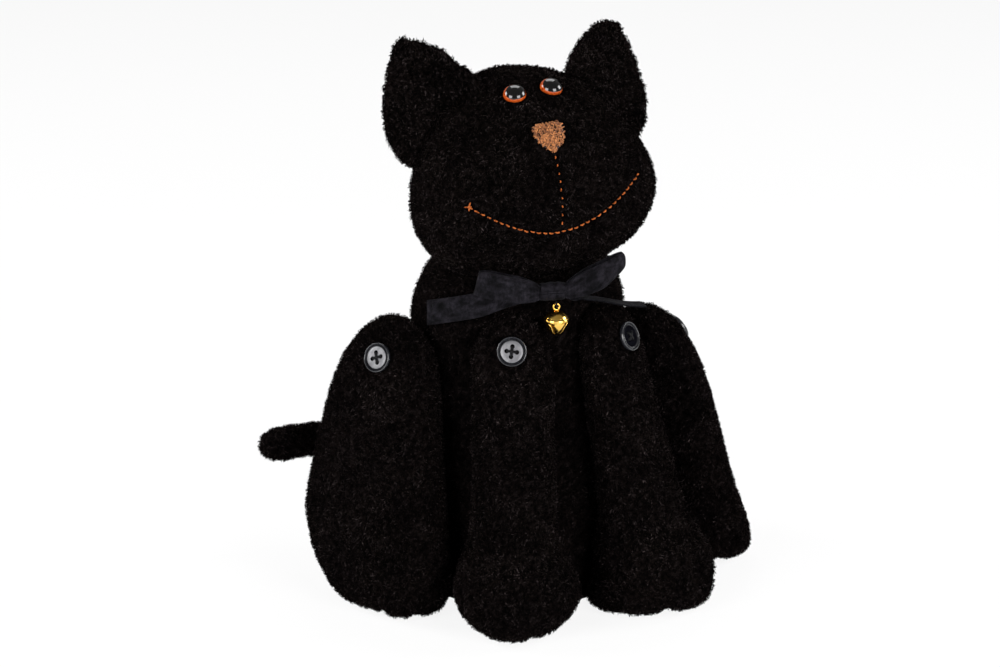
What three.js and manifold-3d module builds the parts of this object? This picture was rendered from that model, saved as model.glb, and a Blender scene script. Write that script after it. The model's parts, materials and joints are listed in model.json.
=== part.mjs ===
// Weighted fabric door stop: a seated plush cat with a ballast bag in its body.
// Millimetres, +Z up, the face towards -Y, origin at the middle of the underside.

import * as THREE from 'three';
import { mergeVertices } from 'three/addons/utils/BufferGeometryUtils.js';
import Module from 'manifold-3d';

const wasm = await Module();
wasm.setup();

// Clearances
const GAP = 0.3;

// Body: rows of height, half width, half depth and middle in Y
const BASE_THICKNESS = 1.2;
const BASE_HALF_WIDTH = 46;
const BASE_HALF_DEPTH = 45;
const BODY_FLOOR = BASE_THICKNESS + GAP;
const BODY_TOP = 160;
const BODY_ROWS = [
  [BODY_FLOOR, 0, 0, 0],
  [BODY_FLOOR, BASE_HALF_WIDTH, BASE_HALF_DEPTH, 0],
  [7, 53, 49, 1],
  [22, 55, 49.5, 2],
  [45, 54, 46, 3],
  [80, 51.5, 42, 2],
  [112, 49, 39.5, 0],
  [132, 47, 39.5, -1],
  [145, 42, 35, -2],
  [155, 30, 24, -3],
  [BODY_TOP, 0, 0, -4],
];
const BODY_FULLNESS = 2.1;

// Ballast bag in a pocket that opens downwards
const BALLAST_HALF_WIDTH = 34;
const BALLAST_HALF_DEPTH = 28;
const BALLAST_HEIGHT = 58;

// Head: rows in its own frame, and how it sits on the neck
const HEAD_PLACE = new THREE.Vector3(-3.5, -10.5, 187);
const HEAD_TURN_DEG = -10;
const HEAD_NOD_DEG = -17;
const HEAD_LEAN_DEG = -6.5;
const HEAD_FULLNESS = 2.2;
const HEAD_ROWS = [
  [-47, 0, 0, 3],
  [-45.5, 16, 10, 2],
  [-40, 32, 22, 0],
  [-30, 47, 31.5, -1],
  [-14, 54, 38, -3],
  [2, 50.5, 37.5, -3],
  [18, 42, 32, -2],
  [31, 33, 26.5, 1],
  [41, 22, 16.5, 6],
  [46, 9, 7, 8],
  [47.3, 0, 0, 8.5],
];

// Ears: outline of the left ear in the head's frame, mirrored for the right one
const EAR_THICKNESS = 9;
const EAR_MIDDLE = [41, 34];
const EAR_CUP = 0.012;
const EAR_SWEEP = 0.28;
const EAR_TILT_DEG = 5;
const EAR_OUTLINE = [
  [47, 63], [37, 59], [26, 50.5], [18, 40], [24, 24], [38, 8],
  [50, 4.5], [57, 12], [59.5, 24], [58, 38], [54.5, 51], [51, 60],
];

// The face was sewn a little askew: higher features lie further to the left side
const FACE_SLANT = 0.045;

// Eyes: glossy domes on shanks, each held by a washer inside the head
const EYE_RADIUS = 4.85;
const EYE_DOME = 3.4;
const EYE_FLANGE = 0.8;
const EYE_SPACING = 16.8;
const EYE_HEIGHT = 32.1;
const SHANK_RADIUS = 1.6;
const SHANK_LENGTH = 8;
const WASHER_RADIUS = 5;
const WASHER_THICKNESS = 1.2;
const WASHER_DEPTH = 5;

// Embroidery in the head's frame
const THREAD_RADIUS = 0.45;
const NOSE_THICKNESS = 1.2;
const NOSE_MIDDLE = [0, 11];
const NOSE_POINT_Z = 4.1;
const NOSE_OUTLINE = [
  [-6.8, 16.5], [-3, 17.7], [3, 17.7], [6.8, 16.5], [7, 12.5],
  [3.5, 7], [0.6, NOSE_POINT_Z], [-0.6, NOSE_POINT_Z], [-3.5, 7], [-7, 12.5],
];
const MOUTH_HALF_WIDTH = 37.8;
const MOUTH_END_Z = -10.5;
const MOUTH_LOW_Z = -28;
const MOUTH_SHAPE = 1.9;

// Legs: rows in a leg's own frame, toes towards -Y
const FRONT_LEG_ROWS = [
  [0, 0, 0, 0],
  [0, 12, 14, -2.5],
  [4, 19.5, 21.5, -2.5],
  [15, 27, 26.5, -4],
  [27, 25.5, 25, -3.5],
  [37, 20.5, 20, -3],
  [48, 19, 17.5, -2],
  [80, 18.5, 15, -1],
  [108, 18.4, 12.5, 0],
  [122, 16.5, 10.5, 0],
  [131, 10, 7, 0],
  [134, 0, 0, 0],
];
const HIND_LEG_ROWS = [
  [0, 0, 0, -11],
  [0, 14, 20, -12],
  [4, 20, 27, -11.5],
  [14, 22.5, 33.5, -6.5],
  [26, 21.5, 37, -1],
  [40, 19, 38.5, 2],
  [62, 18.5, 34.5, 2.5],
  [88, 18, 29, 2],
  [108, 16, 23.5, 1],
  [120, 12.5, 17, 0],
  [127, 7, 9, 0],
  [129, 0, 0, 0],
];
const LEG_FULLNESS = 2.3;
const FRONT_BUTTON_Z = 119;
const HIND_BUTTON_Z = 114;
// The hind buttons sit this far forward of the legs' outer sides
const HIND_BUTTON_TURN_DEG = 12;
const LEGS = [
  { name: 'front_right', front: true, x: -34.5, y: -60.5, turn: -30, tall: 1, lean: [-0.02, 0.235] },
  { name: 'front_left', front: true, x: 34, y: -61, turn: 29, tall: 1, lean: [0, 0.21] },
  { name: 'hind_right', front: false, side: -1, x: -74.4, y: -2, turn: 21, tall: 1, lean: [0.093, -0.03] },
  { name: 'hind_left', front: false, side: 1, x: 82, y: -6, turn: 12, tall: 0.93, lean: [-0.205, 0.02] },
];

// Buttons
const BUTTON_RADIUS = 6.35;
const BUTTON_THICKNESS = 2.2;
const BUTTON_RIM = 0.6;
const BUTTON_RIM_WIDTH = 1.1;
const BUTTON_HOLE_RADIUS = 0.85;
const BUTTON_HOLE_CIRCLE = 1.75;
const BUTTON_SINK = 1.6;
const BUTTON_THREAD_RADIUS = 0.5;

// Tail
const TAIL_RADIUS = 8;
const TAIL_POINTS = [[0, 34, 44], [-22, 54, 48], [-58, 62, 54], [-101.4, 59, 56]];

// Bow, in a frame at the knot that faces the way the head does
const BOW_PLACE = new THREE.Vector3(-9.3, -45.7, 143);
const BOW_TURN_DEG = -16;
const STREAMER_CURVE = 0.0082;
const RIBBON_WIDTH = 11;
const RIBBON_THICKNESS = 0.8;
const LOOP_REACH = 32;
const LOOP_HALF_DEPTH = 3.2;
const LOOP_WIDEST = 0.7;
const LOOP_STEPS = 44;
const LOOP_CURVE = { right: 0.006, left: 0.001 };
const LOOP_RISE = { right: 0.18, left: 0.4 };
const WAIST_HALF_DEPTH = 1.2;
const WAIST_HEIGHT = 4.8;
const WAIST_REACH = 14;
const KNOT_WIDTH = 11;
const KNOT_WALL = 0.9;
const KNOT_CORNER = 1.3;
const KNOT_BULGE = 0.12;
const STREAMER_REACH = { right: 50, left: 43 };
const STREAMER_DROP = { right: 0.26, left: 0.18 };
const STREAMER_TWIST_DEG = 84;
const STREAMER_TWIST_END = 17;
const STREAMER_FORWARD = 3;
const STREAMER_SAG = { right: 0.5, left: 2.4 };
const STREAMER_SETBACK = 0.3;
const SAG_REACH = 8;

// Bell below the knot
const BELL_RADIUS = 4.65;
const BELL_WALL = 0.4;
const BELL_DOME = 4.2;
const BELL_TAPER = 5.8;
const BELL_LIP = 0.25;
const BELL_SLOT = 1;
const BELL_SLOT_TOP = 1.6;
const BELL_BALL_RADIUS = 1.3;
const EYELET_RADIUS = 1.25;
const EYELET_WIRE = 0.4;
const EYELET_FOOT = 1.2;
const HANGER_RADIUS = 1.05;
const HANGER_OFFSET = 1.8;
const HANGER_THREAD = 0.3;

const MATERIALS = {
  plush: { color: 0x16120f, roughness: 1, metalness: 0 },
  lining: { color: 0x1c1a18, roughness: 0.95, metalness: 0 },
  bag: { color: 0xb9ad97, roughness: 0.95, metalness: 0 },
  ribbon: { color: 0x1b1e25, roughness: 0.8, metalness: 0 },
  brass: { color: 0xc9962e, roughness: 0.2, metalness: 1 },
  button: { color: 0x33353a, roughness: 0.25, metalness: 0 },
  eye: { color: 0x3a1206, roughness: 0.05, metalness: 0 },
  nylon: { color: 0xd8d6cf, roughness: 0.5, metalness: 0 },
  copper_thread: { color: 0xa35f35, roughness: 0.7, metalness: 0 },
  black_thread: { color: 0x0c0c0d, roughness: 0.7, metalness: 0 },
};

const radians = THREE.MathUtils.degToRad;

function tidy(geometry) {
  const plain = geometry.clone();
  for (const name of ['normal', 'uv']) plain.deleteAttribute(name);
  const merged = mergeVertices(plain, 1e-4);
  const points = merged.attributes.position;
  const corner = [new THREE.Vector3(), new THREE.Vector3(), new THREE.Vector3()];
  const faces = [];
  let volume = 0;
  for (let i = 0; i < merged.index.count; i += 3) {
    const ids = [0, 1, 2].map((k) => merged.index.getX(i + k));
    if (ids[0] === ids[1] || ids[1] === ids[2] || ids[2] === ids[0]) continue;
    ids.forEach((id, k) => corner[k].fromBufferAttribute(points, id));
    volume += corner[0].dot(corner[1].clone().cross(corner[2]));
    faces.push(ids);
  }
  if (volume < 0) faces.forEach((ids) => ids.reverse());
  merged.setIndex(faces.flat());
  return merged;
}

function solid(geometry) {
  const closed = tidy(geometry);
  const mesh = new wasm.Mesh({
    numProp: 3,
    vertProperties: new Float32Array(closed.attributes.position.array),
    triVerts: new Uint32Array(closed.index.array),
  });
  return new wasm.Manifold(mesh);
}

function surface(body) {
  const mesh = body.getMesh();
  const geometry = new THREE.BufferGeometry();
  const points = new Float32Array(mesh.vertProperties);
  geometry.setAttribute('position', new THREE.BufferAttribute(points, 3));
  geometry.setIndex(new THREE.BufferAttribute(new Uint32Array(mesh.triVerts), 1));
  return geometry;
}

function cut(geometry, ...tools) {
  return surface(tools.reduce((left, tool) => left.subtract(solid(tool)), solid(geometry)));
}

function grown(geometry, distance) {
  const copy = tidy(geometry);
  copy.computeVertexNormals();
  const { position, normal } = copy.attributes;
  for (let i = 0; i < position.count; i += 1) {
    position.setXYZ(
      i,
      position.getX(i) + normal.getX(i) * distance,
      position.getY(i) + normal.getY(i) * distance,
      position.getZ(i) + normal.getZ(i) * distance,
    );
  }
  return copy;
}

function reshape(geometry, move) {
  const { position } = geometry.attributes;
  const point = new THREE.Vector3();
  for (let i = 0; i < position.count; i += 1) {
    point.fromBufferAttribute(position, i);
    move(point);
    position.setXYZ(i, point.x, point.y, point.z);
  }
  return geometry;
}

// A padded form through rows of height, half width, half depth and middle
class PaddedForm {
  constructor(rows, { fullness = 2, lean = [0, 0], tall = 1 } = {}) {
    this.sides = new THREE.SplineCurve(rows.map((row) => new THREE.Vector2(row[0] * tall, row[1])));
    this.depths = new THREE.SplineCurve(rows.map((row) => new THREE.Vector2(row[2], row[3])));
    this.fullness = fullness;
    this.lean = lean;
    this.floor = rows[0][0] * tall;
  }

  at(share) {
    const side = this.sides.getPoint(share);
    const depth = this.depths.getPoint(share);
    return {
      z: Math.max(side.x, this.floor),
      width: Math.max(side.y, 0),
      depth: Math.max(depth.x, 0),
      middle: depth.y,
    };
  }

  shareAt(z) {
    let low = 0;
    let high = 1;
    for (let i = 0; i < 40; i += 1) {
      const half = (low + high) / 2;
      if (this.at(half).z < z) low = half;
      else high = half;
    }
    return low;
  }

  point(share, angle) {
    const { z, width, depth, middle } = this.at(share);
    const power = 2 / this.fullness;
    const round = (value) => Math.sign(value) * Math.abs(value) ** power;
    return new THREE.Vector3(
      width * round(Math.cos(angle)) + this.lean[0] * z,
      middle + depth * round(Math.sin(angle)) + this.lean[1] * z,
      z,
    );
  }

  // The front surface above a point of the XZ plane
  front(x, z) {
    const { width, depth, middle } = this.at(this.shareAt(z));
    const share = Math.min(Math.abs(x) / width, 0.999) ** this.fullness;
    return new THREE.Vector3(x, middle - depth * (1 - share) ** (1 / this.fullness), z);
  }

  frontNormal(x, z) {
    const step = 0.2;
    const across = this.front(x + step, z).sub(this.front(x - step, z));
    const up = this.front(x, z + step).sub(this.front(x, z - step));
    return across.cross(up).normalize();
  }

  normal(share, angle) {
    const step = 1e-3;
    const up = this.point(share + step, angle).sub(this.point(share - step, angle));
    const around = this.point(share, angle + step).sub(this.point(share, angle - step));
    return around.cross(up).normalize();
  }

  geometry(around, rings) {
    return reshape(new THREE.SphereGeometry(1, around, rings), (p) => {
      const share = 1 - Math.acos(THREE.MathUtils.clamp(p.y, -1, 1)) / Math.PI;
      p.copy(this.point(share, Math.atan2(-p.z, p.x)));
    });
  }
}

// A pillow inside a closed outline; face turns a flat place and a share of its thickness into a point
function pillow(outline, middle, around, rings, face) {
  const edge = new THREE.CatmullRomCurve3(outline.map(([x, z]) => new THREE.Vector3(x, 0, z)), true);
  const rim = Array.from({ length: around }, (_, i) => edge.getPoint(i / around));
  return reshape(new THREE.SphereGeometry(1, around, rings), (p) => {
    const reach = Math.hypot(p.x, p.z);
    const turn = (Math.atan2(-p.z, p.x) / (2 * Math.PI) + 1) % 1;
    const target = rim[Math.round(turn * around) % around];
    const x = middle[0] + (target.x - middle[0]) * reach;
    const z = middle[1] + (target.z - middle[1]) * reach;
    p.copy(face(x, z, p.y));
  });
}

function lathe(profile, around) {
  const points = profile.map(([r, z]) => new THREE.Vector2(r, z));
  return new THREE.LatheGeometry(points, around).rotateX(Math.PI / 2);
}

function rod(radius, from, to, around) {
  const length = to - from;
  return new THREE.CylinderGeometry(radius, radius, length, around)
    .rotateX(Math.PI / 2)
    .translate(0, 0, (from + to) / 2);
}

function threadAlong(curve, radius, steps, sides = 6) {
  const section = new THREE.Shape();
  for (let i = 0; i < sides; i += 1) {
    const angle = (2 * Math.PI * i) / sides;
    const point = [radius * Math.cos(angle), radius * Math.sin(angle)];
    if (i === 0) section.moveTo(...point);
    else section.lineTo(...point);
  }
  return new THREE.ExtrudeGeometry(section, { steps, extrudePath: curve });
}

function piece(name, material, geometry, parent) {
  const mesh = new THREE.Mesh(tidy(geometry), new THREE.MeshStandardMaterial(MATERIALS[material]));
  mesh.name = name;
  parent.add(mesh);
  return mesh;
}

function facing(place, normal) {
  const frame = new THREE.Group();
  frame.position.copy(place);
  frame.quaternion.setFromUnitVectors(new THREE.Vector3(0, 0, 1), normal);
  frame.updateMatrix();
  return frame;
}

const model = new THREE.Group();
const headFrame = new THREE.Group();
headFrame.position.copy(HEAD_PLACE);
headFrame.rotation.set(radians(HEAD_NOD_DEG), radians(HEAD_LEAN_DEG), radians(HEAD_TURN_DEG), 'ZXY');
headFrame.updateMatrix();
model.add(headFrame);

const headForm = new PaddedForm(HEAD_ROWS, { fullness: HEAD_FULLNESS });
const headBlank = headForm.geometry(24, 18);

function slant(z) {
  return FACE_SLANT * (z - MOUTH_LOW_Z);
}

function eyeProfile() {
  const dome = [];
  const steps = 5;
  for (let i = 0; i <= steps; i += 1) {
    const angle = (Math.PI / 2) * (1 - i / steps);
    dome.push([EYE_RADIUS * Math.cos(angle), EYE_DOME * Math.sin(angle)]);
  }
  dome[0][0] = 0;
  const flange = [[EYE_RADIUS, -EYE_FLANGE], [SHANK_RADIUS, -EYE_FLANGE]];
  const shank = [[SHANK_RADIUS, -SHANK_LENGTH], [0, -SHANK_LENGTH]];
  return [...dome, ...flange, ...shank];
}

function ring(inner, outer, low, high, around) {
  return lathe([[inner, low], [outer, low], [outer, high], [inner, high], [inner, low]], around);
}

function addHead() {
  const pockets = [];
  for (const [side, sign] of [['right', -1], ['left', 1]]) {
    const x = (sign * EYE_SPACING) / 2 + slant(EYE_HEIGHT);
    const frame = facing(headForm.front(x, EYE_HEIGHT), headForm.frontNormal(x, EYE_HEIGHT));
    piece(`eye_${side}`, 'eye', lathe(eyeProfile(), 18), frame);
    const washerBack = -WASHER_DEPTH - WASHER_THICKNESS;
    const washer = ring(SHANK_RADIUS + GAP, WASHER_RADIUS, washerBack, -WASHER_DEPTH, 20);
    piece(`eye_washer_${side}`, 'nylon', washer, frame);
    headFrame.add(frame);
    const chamberFloor = washerBack - GAP;
    pockets.push(
      rod(EYE_RADIUS + GAP, -EYE_FLANGE - GAP, EYE_RADIUS, 18).applyMatrix4(frame.matrix),
      rod(SHANK_RADIUS + GAP, -SHANK_LENGTH - GAP, 0, 12).applyMatrix4(frame.matrix),
      rod(WASHER_RADIUS + GAP, chamberFloor, -WASHER_DEPTH + GAP, 20).applyMatrix4(frame.matrix),
    );
  }
  piece('head', 'plush', cut(headBlank, ...pockets), headFrame);
}

function addEars() {
  const seat = grown(headBlank, GAP);
  for (const [side, sign] of [['right', -1], ['left', 1]]) {
    const ear = pillow(EAR_OUTLINE, EAR_MIDDLE, 24, 8, (x, z, up) => {
      const off = x - EAR_MIDDLE[0];
      const y = EAR_SWEEP * off - EAR_CUP * off * off - (up * EAR_THICKNESS) / 2;
      return new THREE.Vector3(x, y, z);
    });
    ear.scale(sign, 1, 1).rotateY(radians(EAR_TILT_DEG));
    piece(`ear_${side}`, 'plush', cut(ear, seat), headFrame);
  }
}

function onFace(x, z, height) {
  const across = x + slant(z);
  return headForm.front(across, z).addScaledVector(headForm.frontNormal(across, z), height);
}

function mouthHeight(x) {
  return MOUTH_LOW_Z + (MOUTH_END_Z - MOUTH_LOW_Z) * (Math.abs(x) / MOUTH_HALF_WIDTH) ** MOUTH_SHAPE;
}

function addEmbroidery() {
  const seat = GAP + NOSE_THICKNESS / 2;
  const satin = (x, z, up) => onFace(x, z, seat + (up * NOSE_THICKNESS) / 2);
  const nose = pillow(NOSE_OUTLINE, NOSE_MIDDLE, 20, 6, satin);
  piece('nose', 'copper_thread', nose, headFrame);
  const rise = GAP + THREAD_RADIUS;
  const along = (count, place) => {
    const shares = Array.from({ length: count }, (_, i) => i / (count - 1));
    return new THREE.CatmullRomCurve3(shares.map(place));
  };
  const mouth = along(17, (t) => {
    const x = MOUTH_HALF_WIDTH * (2 * t - 1);
    return onFace(x, mouthHeight(x), rise);
  });
  piece('mouth_thread', 'copper_thread', threadAlong(mouth, THREAD_RADIUS, 36, 5), headFrame);
  const top = NOSE_POINT_Z - GAP - THREAD_RADIUS;
  const low = mouthHeight(0) + 2 * THREAD_RADIUS + GAP;
  const lip = along(7, (t) => onFace(0, top + (low - top) * t, rise));
  piece('lip_thread', 'copper_thread', threadAlong(lip, THREAD_RADIUS, 12, 5), headFrame);
}

function buttonGeometry() {
  const step = BUTTON_RADIUS - BUTTON_RIM_WIDTH;
  const face = BUTTON_THICKNESS - BUTTON_RIM;
  const blank = lathe([
    [0, 0], [BUTTON_RADIUS - BUTTON_RIM, 0], [BUTTON_RADIUS, BUTTON_RIM],
    [BUTTON_RADIUS, face], [BUTTON_RADIUS - BUTTON_RIM / 2, BUTTON_THICKNESS],
    [step, BUTTON_THICKNESS], [step - BUTTON_RIM, face], [0, face],
  ], 18);
  const drill = rod(BUTTON_HOLE_RADIUS, -1, BUTTON_THICKNESS, 8);
  return cut(blank, ...buttonHoles().map(([x, y]) => drill.clone().translate(x, y, 0)));
}

function buttonHoles() {
  return [45, 135, 225, 315].map((turn) => {
    const angle = radians(turn);
    return [BUTTON_HOLE_CIRCLE * Math.cos(angle), BUTTON_HOLE_CIRCLE * Math.sin(angle)];
  });
}

// Two strands that cross between the holes and go down through them
function buttonThread() {
  const top = BUTTON_THICKNESS - BUTTON_RIM + GAP + BUTTON_THREAD_RADIUS;
  const rise = top * 0.6;
  const holes = buttonHoles();
  const strands = [[0, 2], [1, 3]].map(([from, to]) => {
    const [x, y] = holes[from];
    const [u, v] = holes[to];
    const bend = 0.75;
    const upward = [[x, y, 0], [x, y, rise], [x * bend, y * bend, top]];
    const downward = [[u * bend, v * bend, top], [u, v, rise], [u, v, 0]];
    const route = [...upward, ...downward].map((p) => new THREE.Vector3(...p));
    const curve = new THREE.CatmullRomCurve3(route, false, 'centripetal');
    return solid(threadAlong(curve, BUTTON_THREAD_RADIUS, 9, 5));
  });
  return surface(strands[0].add(strands[1]));
}

function legFrame(leg) {
  const frame = new THREE.Group();
  frame.position.set(leg.x, leg.y, 0);
  frame.rotation.z = radians(leg.turn);
  frame.updateMatrix();
  return frame;
}

const legForms = LEGS.map((leg) => {
  const rows = leg.front ? FRONT_LEG_ROWS : HIND_LEG_ROWS;
  const form = new PaddedForm(rows, { fullness: LEG_FULLNESS, lean: leg.lean, tall: leg.tall });
  const frame = legFrame(leg);
  return { leg, form, frame, blank: form.geometry(18, 16) };
});

function inFrame(geometry, from, to) {
  const carry = to.matrix.clone().invert().multiply(from.matrix);
  return geometry.clone().applyMatrix4(carry);
}

function addLegs() {
  const button = buttonGeometry();
  const thread = buttonThread();
  legForms.forEach(({ leg, form, frame, blank }, index) => {
    const buttonZ = (leg.front ? FRONT_BUTTON_Z : HIND_BUTTON_Z) * leg.tall;
    const forward = Math.PI / 2 + radians(HIND_BUTTON_TURN_DEG);
    const angle = leg.front ? -Math.PI / 2 : Math.PI / 2 - leg.side * forward;
    const share = form.shareAt(buttonZ);
    const outward = form.normal(share, angle);
    const seat = form.point(share, angle).addScaledVector(outward, -BUTTON_SINK);
    const buttonFrame = facing(seat, outward);
    const pocket = rod(BUTTON_RADIUS + GAP, -GAP, BUTTON_RADIUS * 2, 24).applyMatrix4(buttonFrame.matrix);
    const seatOf = (other) => grown(inFrame(other.blank, other.frame, frame), GAP);
    const nearer = legForms.slice(0, index).map(seatOf);
    piece(`leg_${leg.name}`, 'plush', cut(blank, pocket, ...nearer), frame);
    piece(`button_${leg.name}`, 'button', button, buttonFrame);
    piece(`button_thread_${leg.name}`, 'black_thread', thread, buttonFrame);
    frame.add(buttonFrame);
    model.add(frame);
  });
}

const bodyBlank = new PaddedForm(BODY_ROWS, { fullness: BODY_FULLNESS }).geometry(22, 14);

function ovalPrism(halfWidth, halfDepth, low, high, around) {
  return rod(1, low, high, around).scale(halfWidth, halfDepth, 1);
}

function addBody() {
  const pocketTop = BODY_FLOOR + BALLAST_HEIGHT + GAP;
  const pocket = ovalPrism(BALLAST_HALF_WIDTH + GAP, BALLAST_HALF_DEPTH + GAP, 0, pocketTop, 28);
  const legSeats = legForms.map(({ frame, blank }) => grown(blank, GAP).applyMatrix4(frame.matrix));
  const headSeat = grown(headBlank, GAP).applyMatrix4(headFrame.matrix);
  piece('body', 'plush', cut(bodyBlank, pocket, headSeat, ...legSeats), model);
  const panel = ovalPrism(BASE_HALF_WIDTH, BASE_HALF_DEPTH, 0, BASE_THICKNESS, 32);
  piece('base_panel', 'lining', cut(panel, ...legSeats), model);
  const bagTop = BODY_FLOOR + BALLAST_HEIGHT;
  const bag = ovalPrism(BALLAST_HALF_WIDTH, BALLAST_HALF_DEPTH, BODY_FLOOR, bagTop, 28);
  piece('ballast_bag', 'bag', bag, model);
}

// A round soft tube along a curve, with half-round ends
function roundTube(route, radius, around, endRings, midRings) {
  const length = route.getLength();
  const stations = [];
  for (let i = 0; i <= endRings; i += 1) {
    const angle = (Math.PI / 2) * (i / endRings);
    stations.push([radius * (1 - Math.cos(angle)), radius * Math.sin(angle)]);
  }
  for (let i = 1; i < midRings; i += 1) {
    stations.push([radius + ((length - 2 * radius) * i) / midRings, radius]);
  }
  for (let i = endRings; i >= 0; i -= 1) stations.push([length - stations[i][0], stations[i][1]]);
  const rings = stations.length - 1;
  const upright = new THREE.Vector3(0, 0, 1);
  return reshape(new THREE.SphereGeometry(1, around, rings), (p) => {
    const share = Math.acos(THREE.MathUtils.clamp(p.y, -1, 1)) / Math.PI;
    const station = stations[Math.round(share * rings)];
    const along = station[0] / length;
    const ahead = route.getTangentAt(along);
    const side = ahead.clone().cross(upright).normalize();
    const over = side.clone().cross(ahead);
    const angle = Math.atan2(p.z, p.x);
    p.copy(route.getPointAt(along))
      .addScaledVector(side, station[1] * Math.cos(angle))
      .addScaledVector(over, station[1] * Math.sin(angle));
  });
}

function addTail() {
  const route = new THREE.CatmullRomCurve3(TAIL_POINTS.map((p) => new THREE.Vector3(...p)));
  const blocks = legForms.map(({ frame, blank }) => grown(blank, GAP).applyMatrix4(frame.matrix));
  const tail = roundTube(route, TAIL_RADIUS, 12, 3, 8);
  piece('tail', 'plush', cut(tail, grown(bodyBlank, GAP), ...blocks), model);
}

const bowFrame = new THREE.Group();
bowFrame.position.copy(BOW_PLACE);
bowFrame.rotation.z = radians(BOW_TURN_DEG);
model.add(bowFrame);

const KNOT_EXIT = KNOT_WIDTH / 2 + GAP;

// Half depth of the folded ribbon, from its waist in the knot to the wide part of a loop
function loopOpening(x) {
  const open = THREE.MathUtils.smoothstep(Math.abs(x), KNOT_EXIT, LOOP_REACH * LOOP_WIDEST);
  return THREE.MathUtils.lerp(WAIST_HALF_DEPTH, LOOP_HALF_DEPTH, open);
}

// A point of the loops' middle line, which runs along the front and back behind
function loopLine(turn) {
  const reach = LOOP_REACH - RIBBON_THICKNESS / 2;
  let x = reach * Math.cos(turn);
  const halfStep = (Math.PI * reach) / LOOP_STEPS;
  if (Math.abs(Math.abs(x) - KNOT_EXIT) < halfStep) x = Math.sign(x) * KNOT_EXIT;
  const start = LOOP_REACH * LOOP_WIDEST;
  const past = Math.max(Math.abs(x) - start, 0) / (reach - start);
  const half = (loopOpening(x) - RIBBON_THICKNESS / 2) * Math.sqrt(Math.max(1 - past * past, 0));
  return new THREE.Vector2(x, Math.sign(Math.sin(turn)) * half);
}

function pinch(x) {
  const open = THREE.MathUtils.smoothstep(Math.abs(x), KNOT_EXIT, WAIST_REACH);
  return THREE.MathUtils.lerp(WAIST_HEIGHT / RIBBON_WIDTH, 1, open);
}

// One flattened ring of ribbon, swept with a flat four-cornered section
function bowLoops() {
  const band = new THREE.TorusGeometry(1, 0.5, 4, LOOP_STEPS);
  const tiny = 1e-3;
  const step = 0.02;
  return reshape(band, (p) => {
    const turn = Math.atan2(p.y, p.x);
    const out = Math.hypot(p.x, p.y) - 1;
    const middle = loopLine(turn);
    const ahead = loopLine(turn + step).sub(loopLine(turn - step));
    const skin = new THREE.Vector2(ahead.y, -ahead.x).normalize();
    const atEnd = Math.abs(Math.abs(middle.x) - (LOOP_REACH - RIBBON_THICKNESS / 2)) < tiny;
    const inWaist = Math.abs(middle.x) <= KNOT_EXIT + tiny;
    if (atEnd) skin.set(Math.sign(middle.x), 0);
    if (inWaist) skin.set(0, Math.sign(Math.sin(turn)));
    middle.addScaledVector(skin, (Math.sign(out + p.z) * RIBBON_THICKNESS) / 2);
    const side = middle.x > 0 ? 'left' : 'right';
    const away = Math.max(Math.abs(middle.x) - KNOT_EXIT, 0);
    const half = (Math.sign(out - p.z) * RIBBON_WIDTH * pinch(middle.x)) / 2;
    p.set(middle.x, middle.y + LOOP_CURVE[side] * away * away, half + LOOP_RISE[side] * away);
  });
}

function bowStreamers() {
  const middle = (STREAMER_REACH.left - STREAMER_REACH.right) / 2;
  const length = STREAMER_REACH.left + STREAMER_REACH.right;
  const steps = 34;
  const strip = new THREE.BoxGeometry(length, RIBBON_THICKNESS, RIBBON_WIDTH, steps, 1, 1);
  return reshape(strip.translate(middle, 0, 0), (p) => {
    if (Math.abs(Math.abs(p.x) - KNOT_EXIT) < length / steps / 2) p.x = Math.sign(p.x) * KNOT_EXIT;
    const side = p.x > 0 ? 'left' : 'right';
    const away = Math.max(Math.abs(p.x) - KNOT_EXIT, 0);
    const setback = GAP + RIBBON_THICKNESS / 2 + STREAMER_SETBACK * Math.min(away, 1);
    const behind = loopOpening(p.x) + setback;
    const turned = THREE.MathUtils.smoothstep(p.x, KNOT_EXIT, STREAMER_TWIST_END);
    const twist = radians(STREAMER_TWIST_DEG) * turned;
    const height = p.z * pinch(p.x);
    const past = THREE.MathUtils.smoothstep(p.x, STREAMER_TWIST_END, STREAMER_REACH.left);
    const forward = STREAMER_FORWARD * past;
    const sag = STREAMER_SAG[side] * THREE.MathUtils.smoothstep(away, 0, SAG_REACH);
    const lift = -STREAMER_DROP[side] * away - sag;
    const y = p.y * Math.cos(twist) + height * Math.sin(twist) + behind - forward;
    const z = height * Math.cos(twist) - p.y * Math.sin(twist) + lift;
    p.set(p.x, y + STREAMER_CURVE * away * away, z);
  });
}

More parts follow.
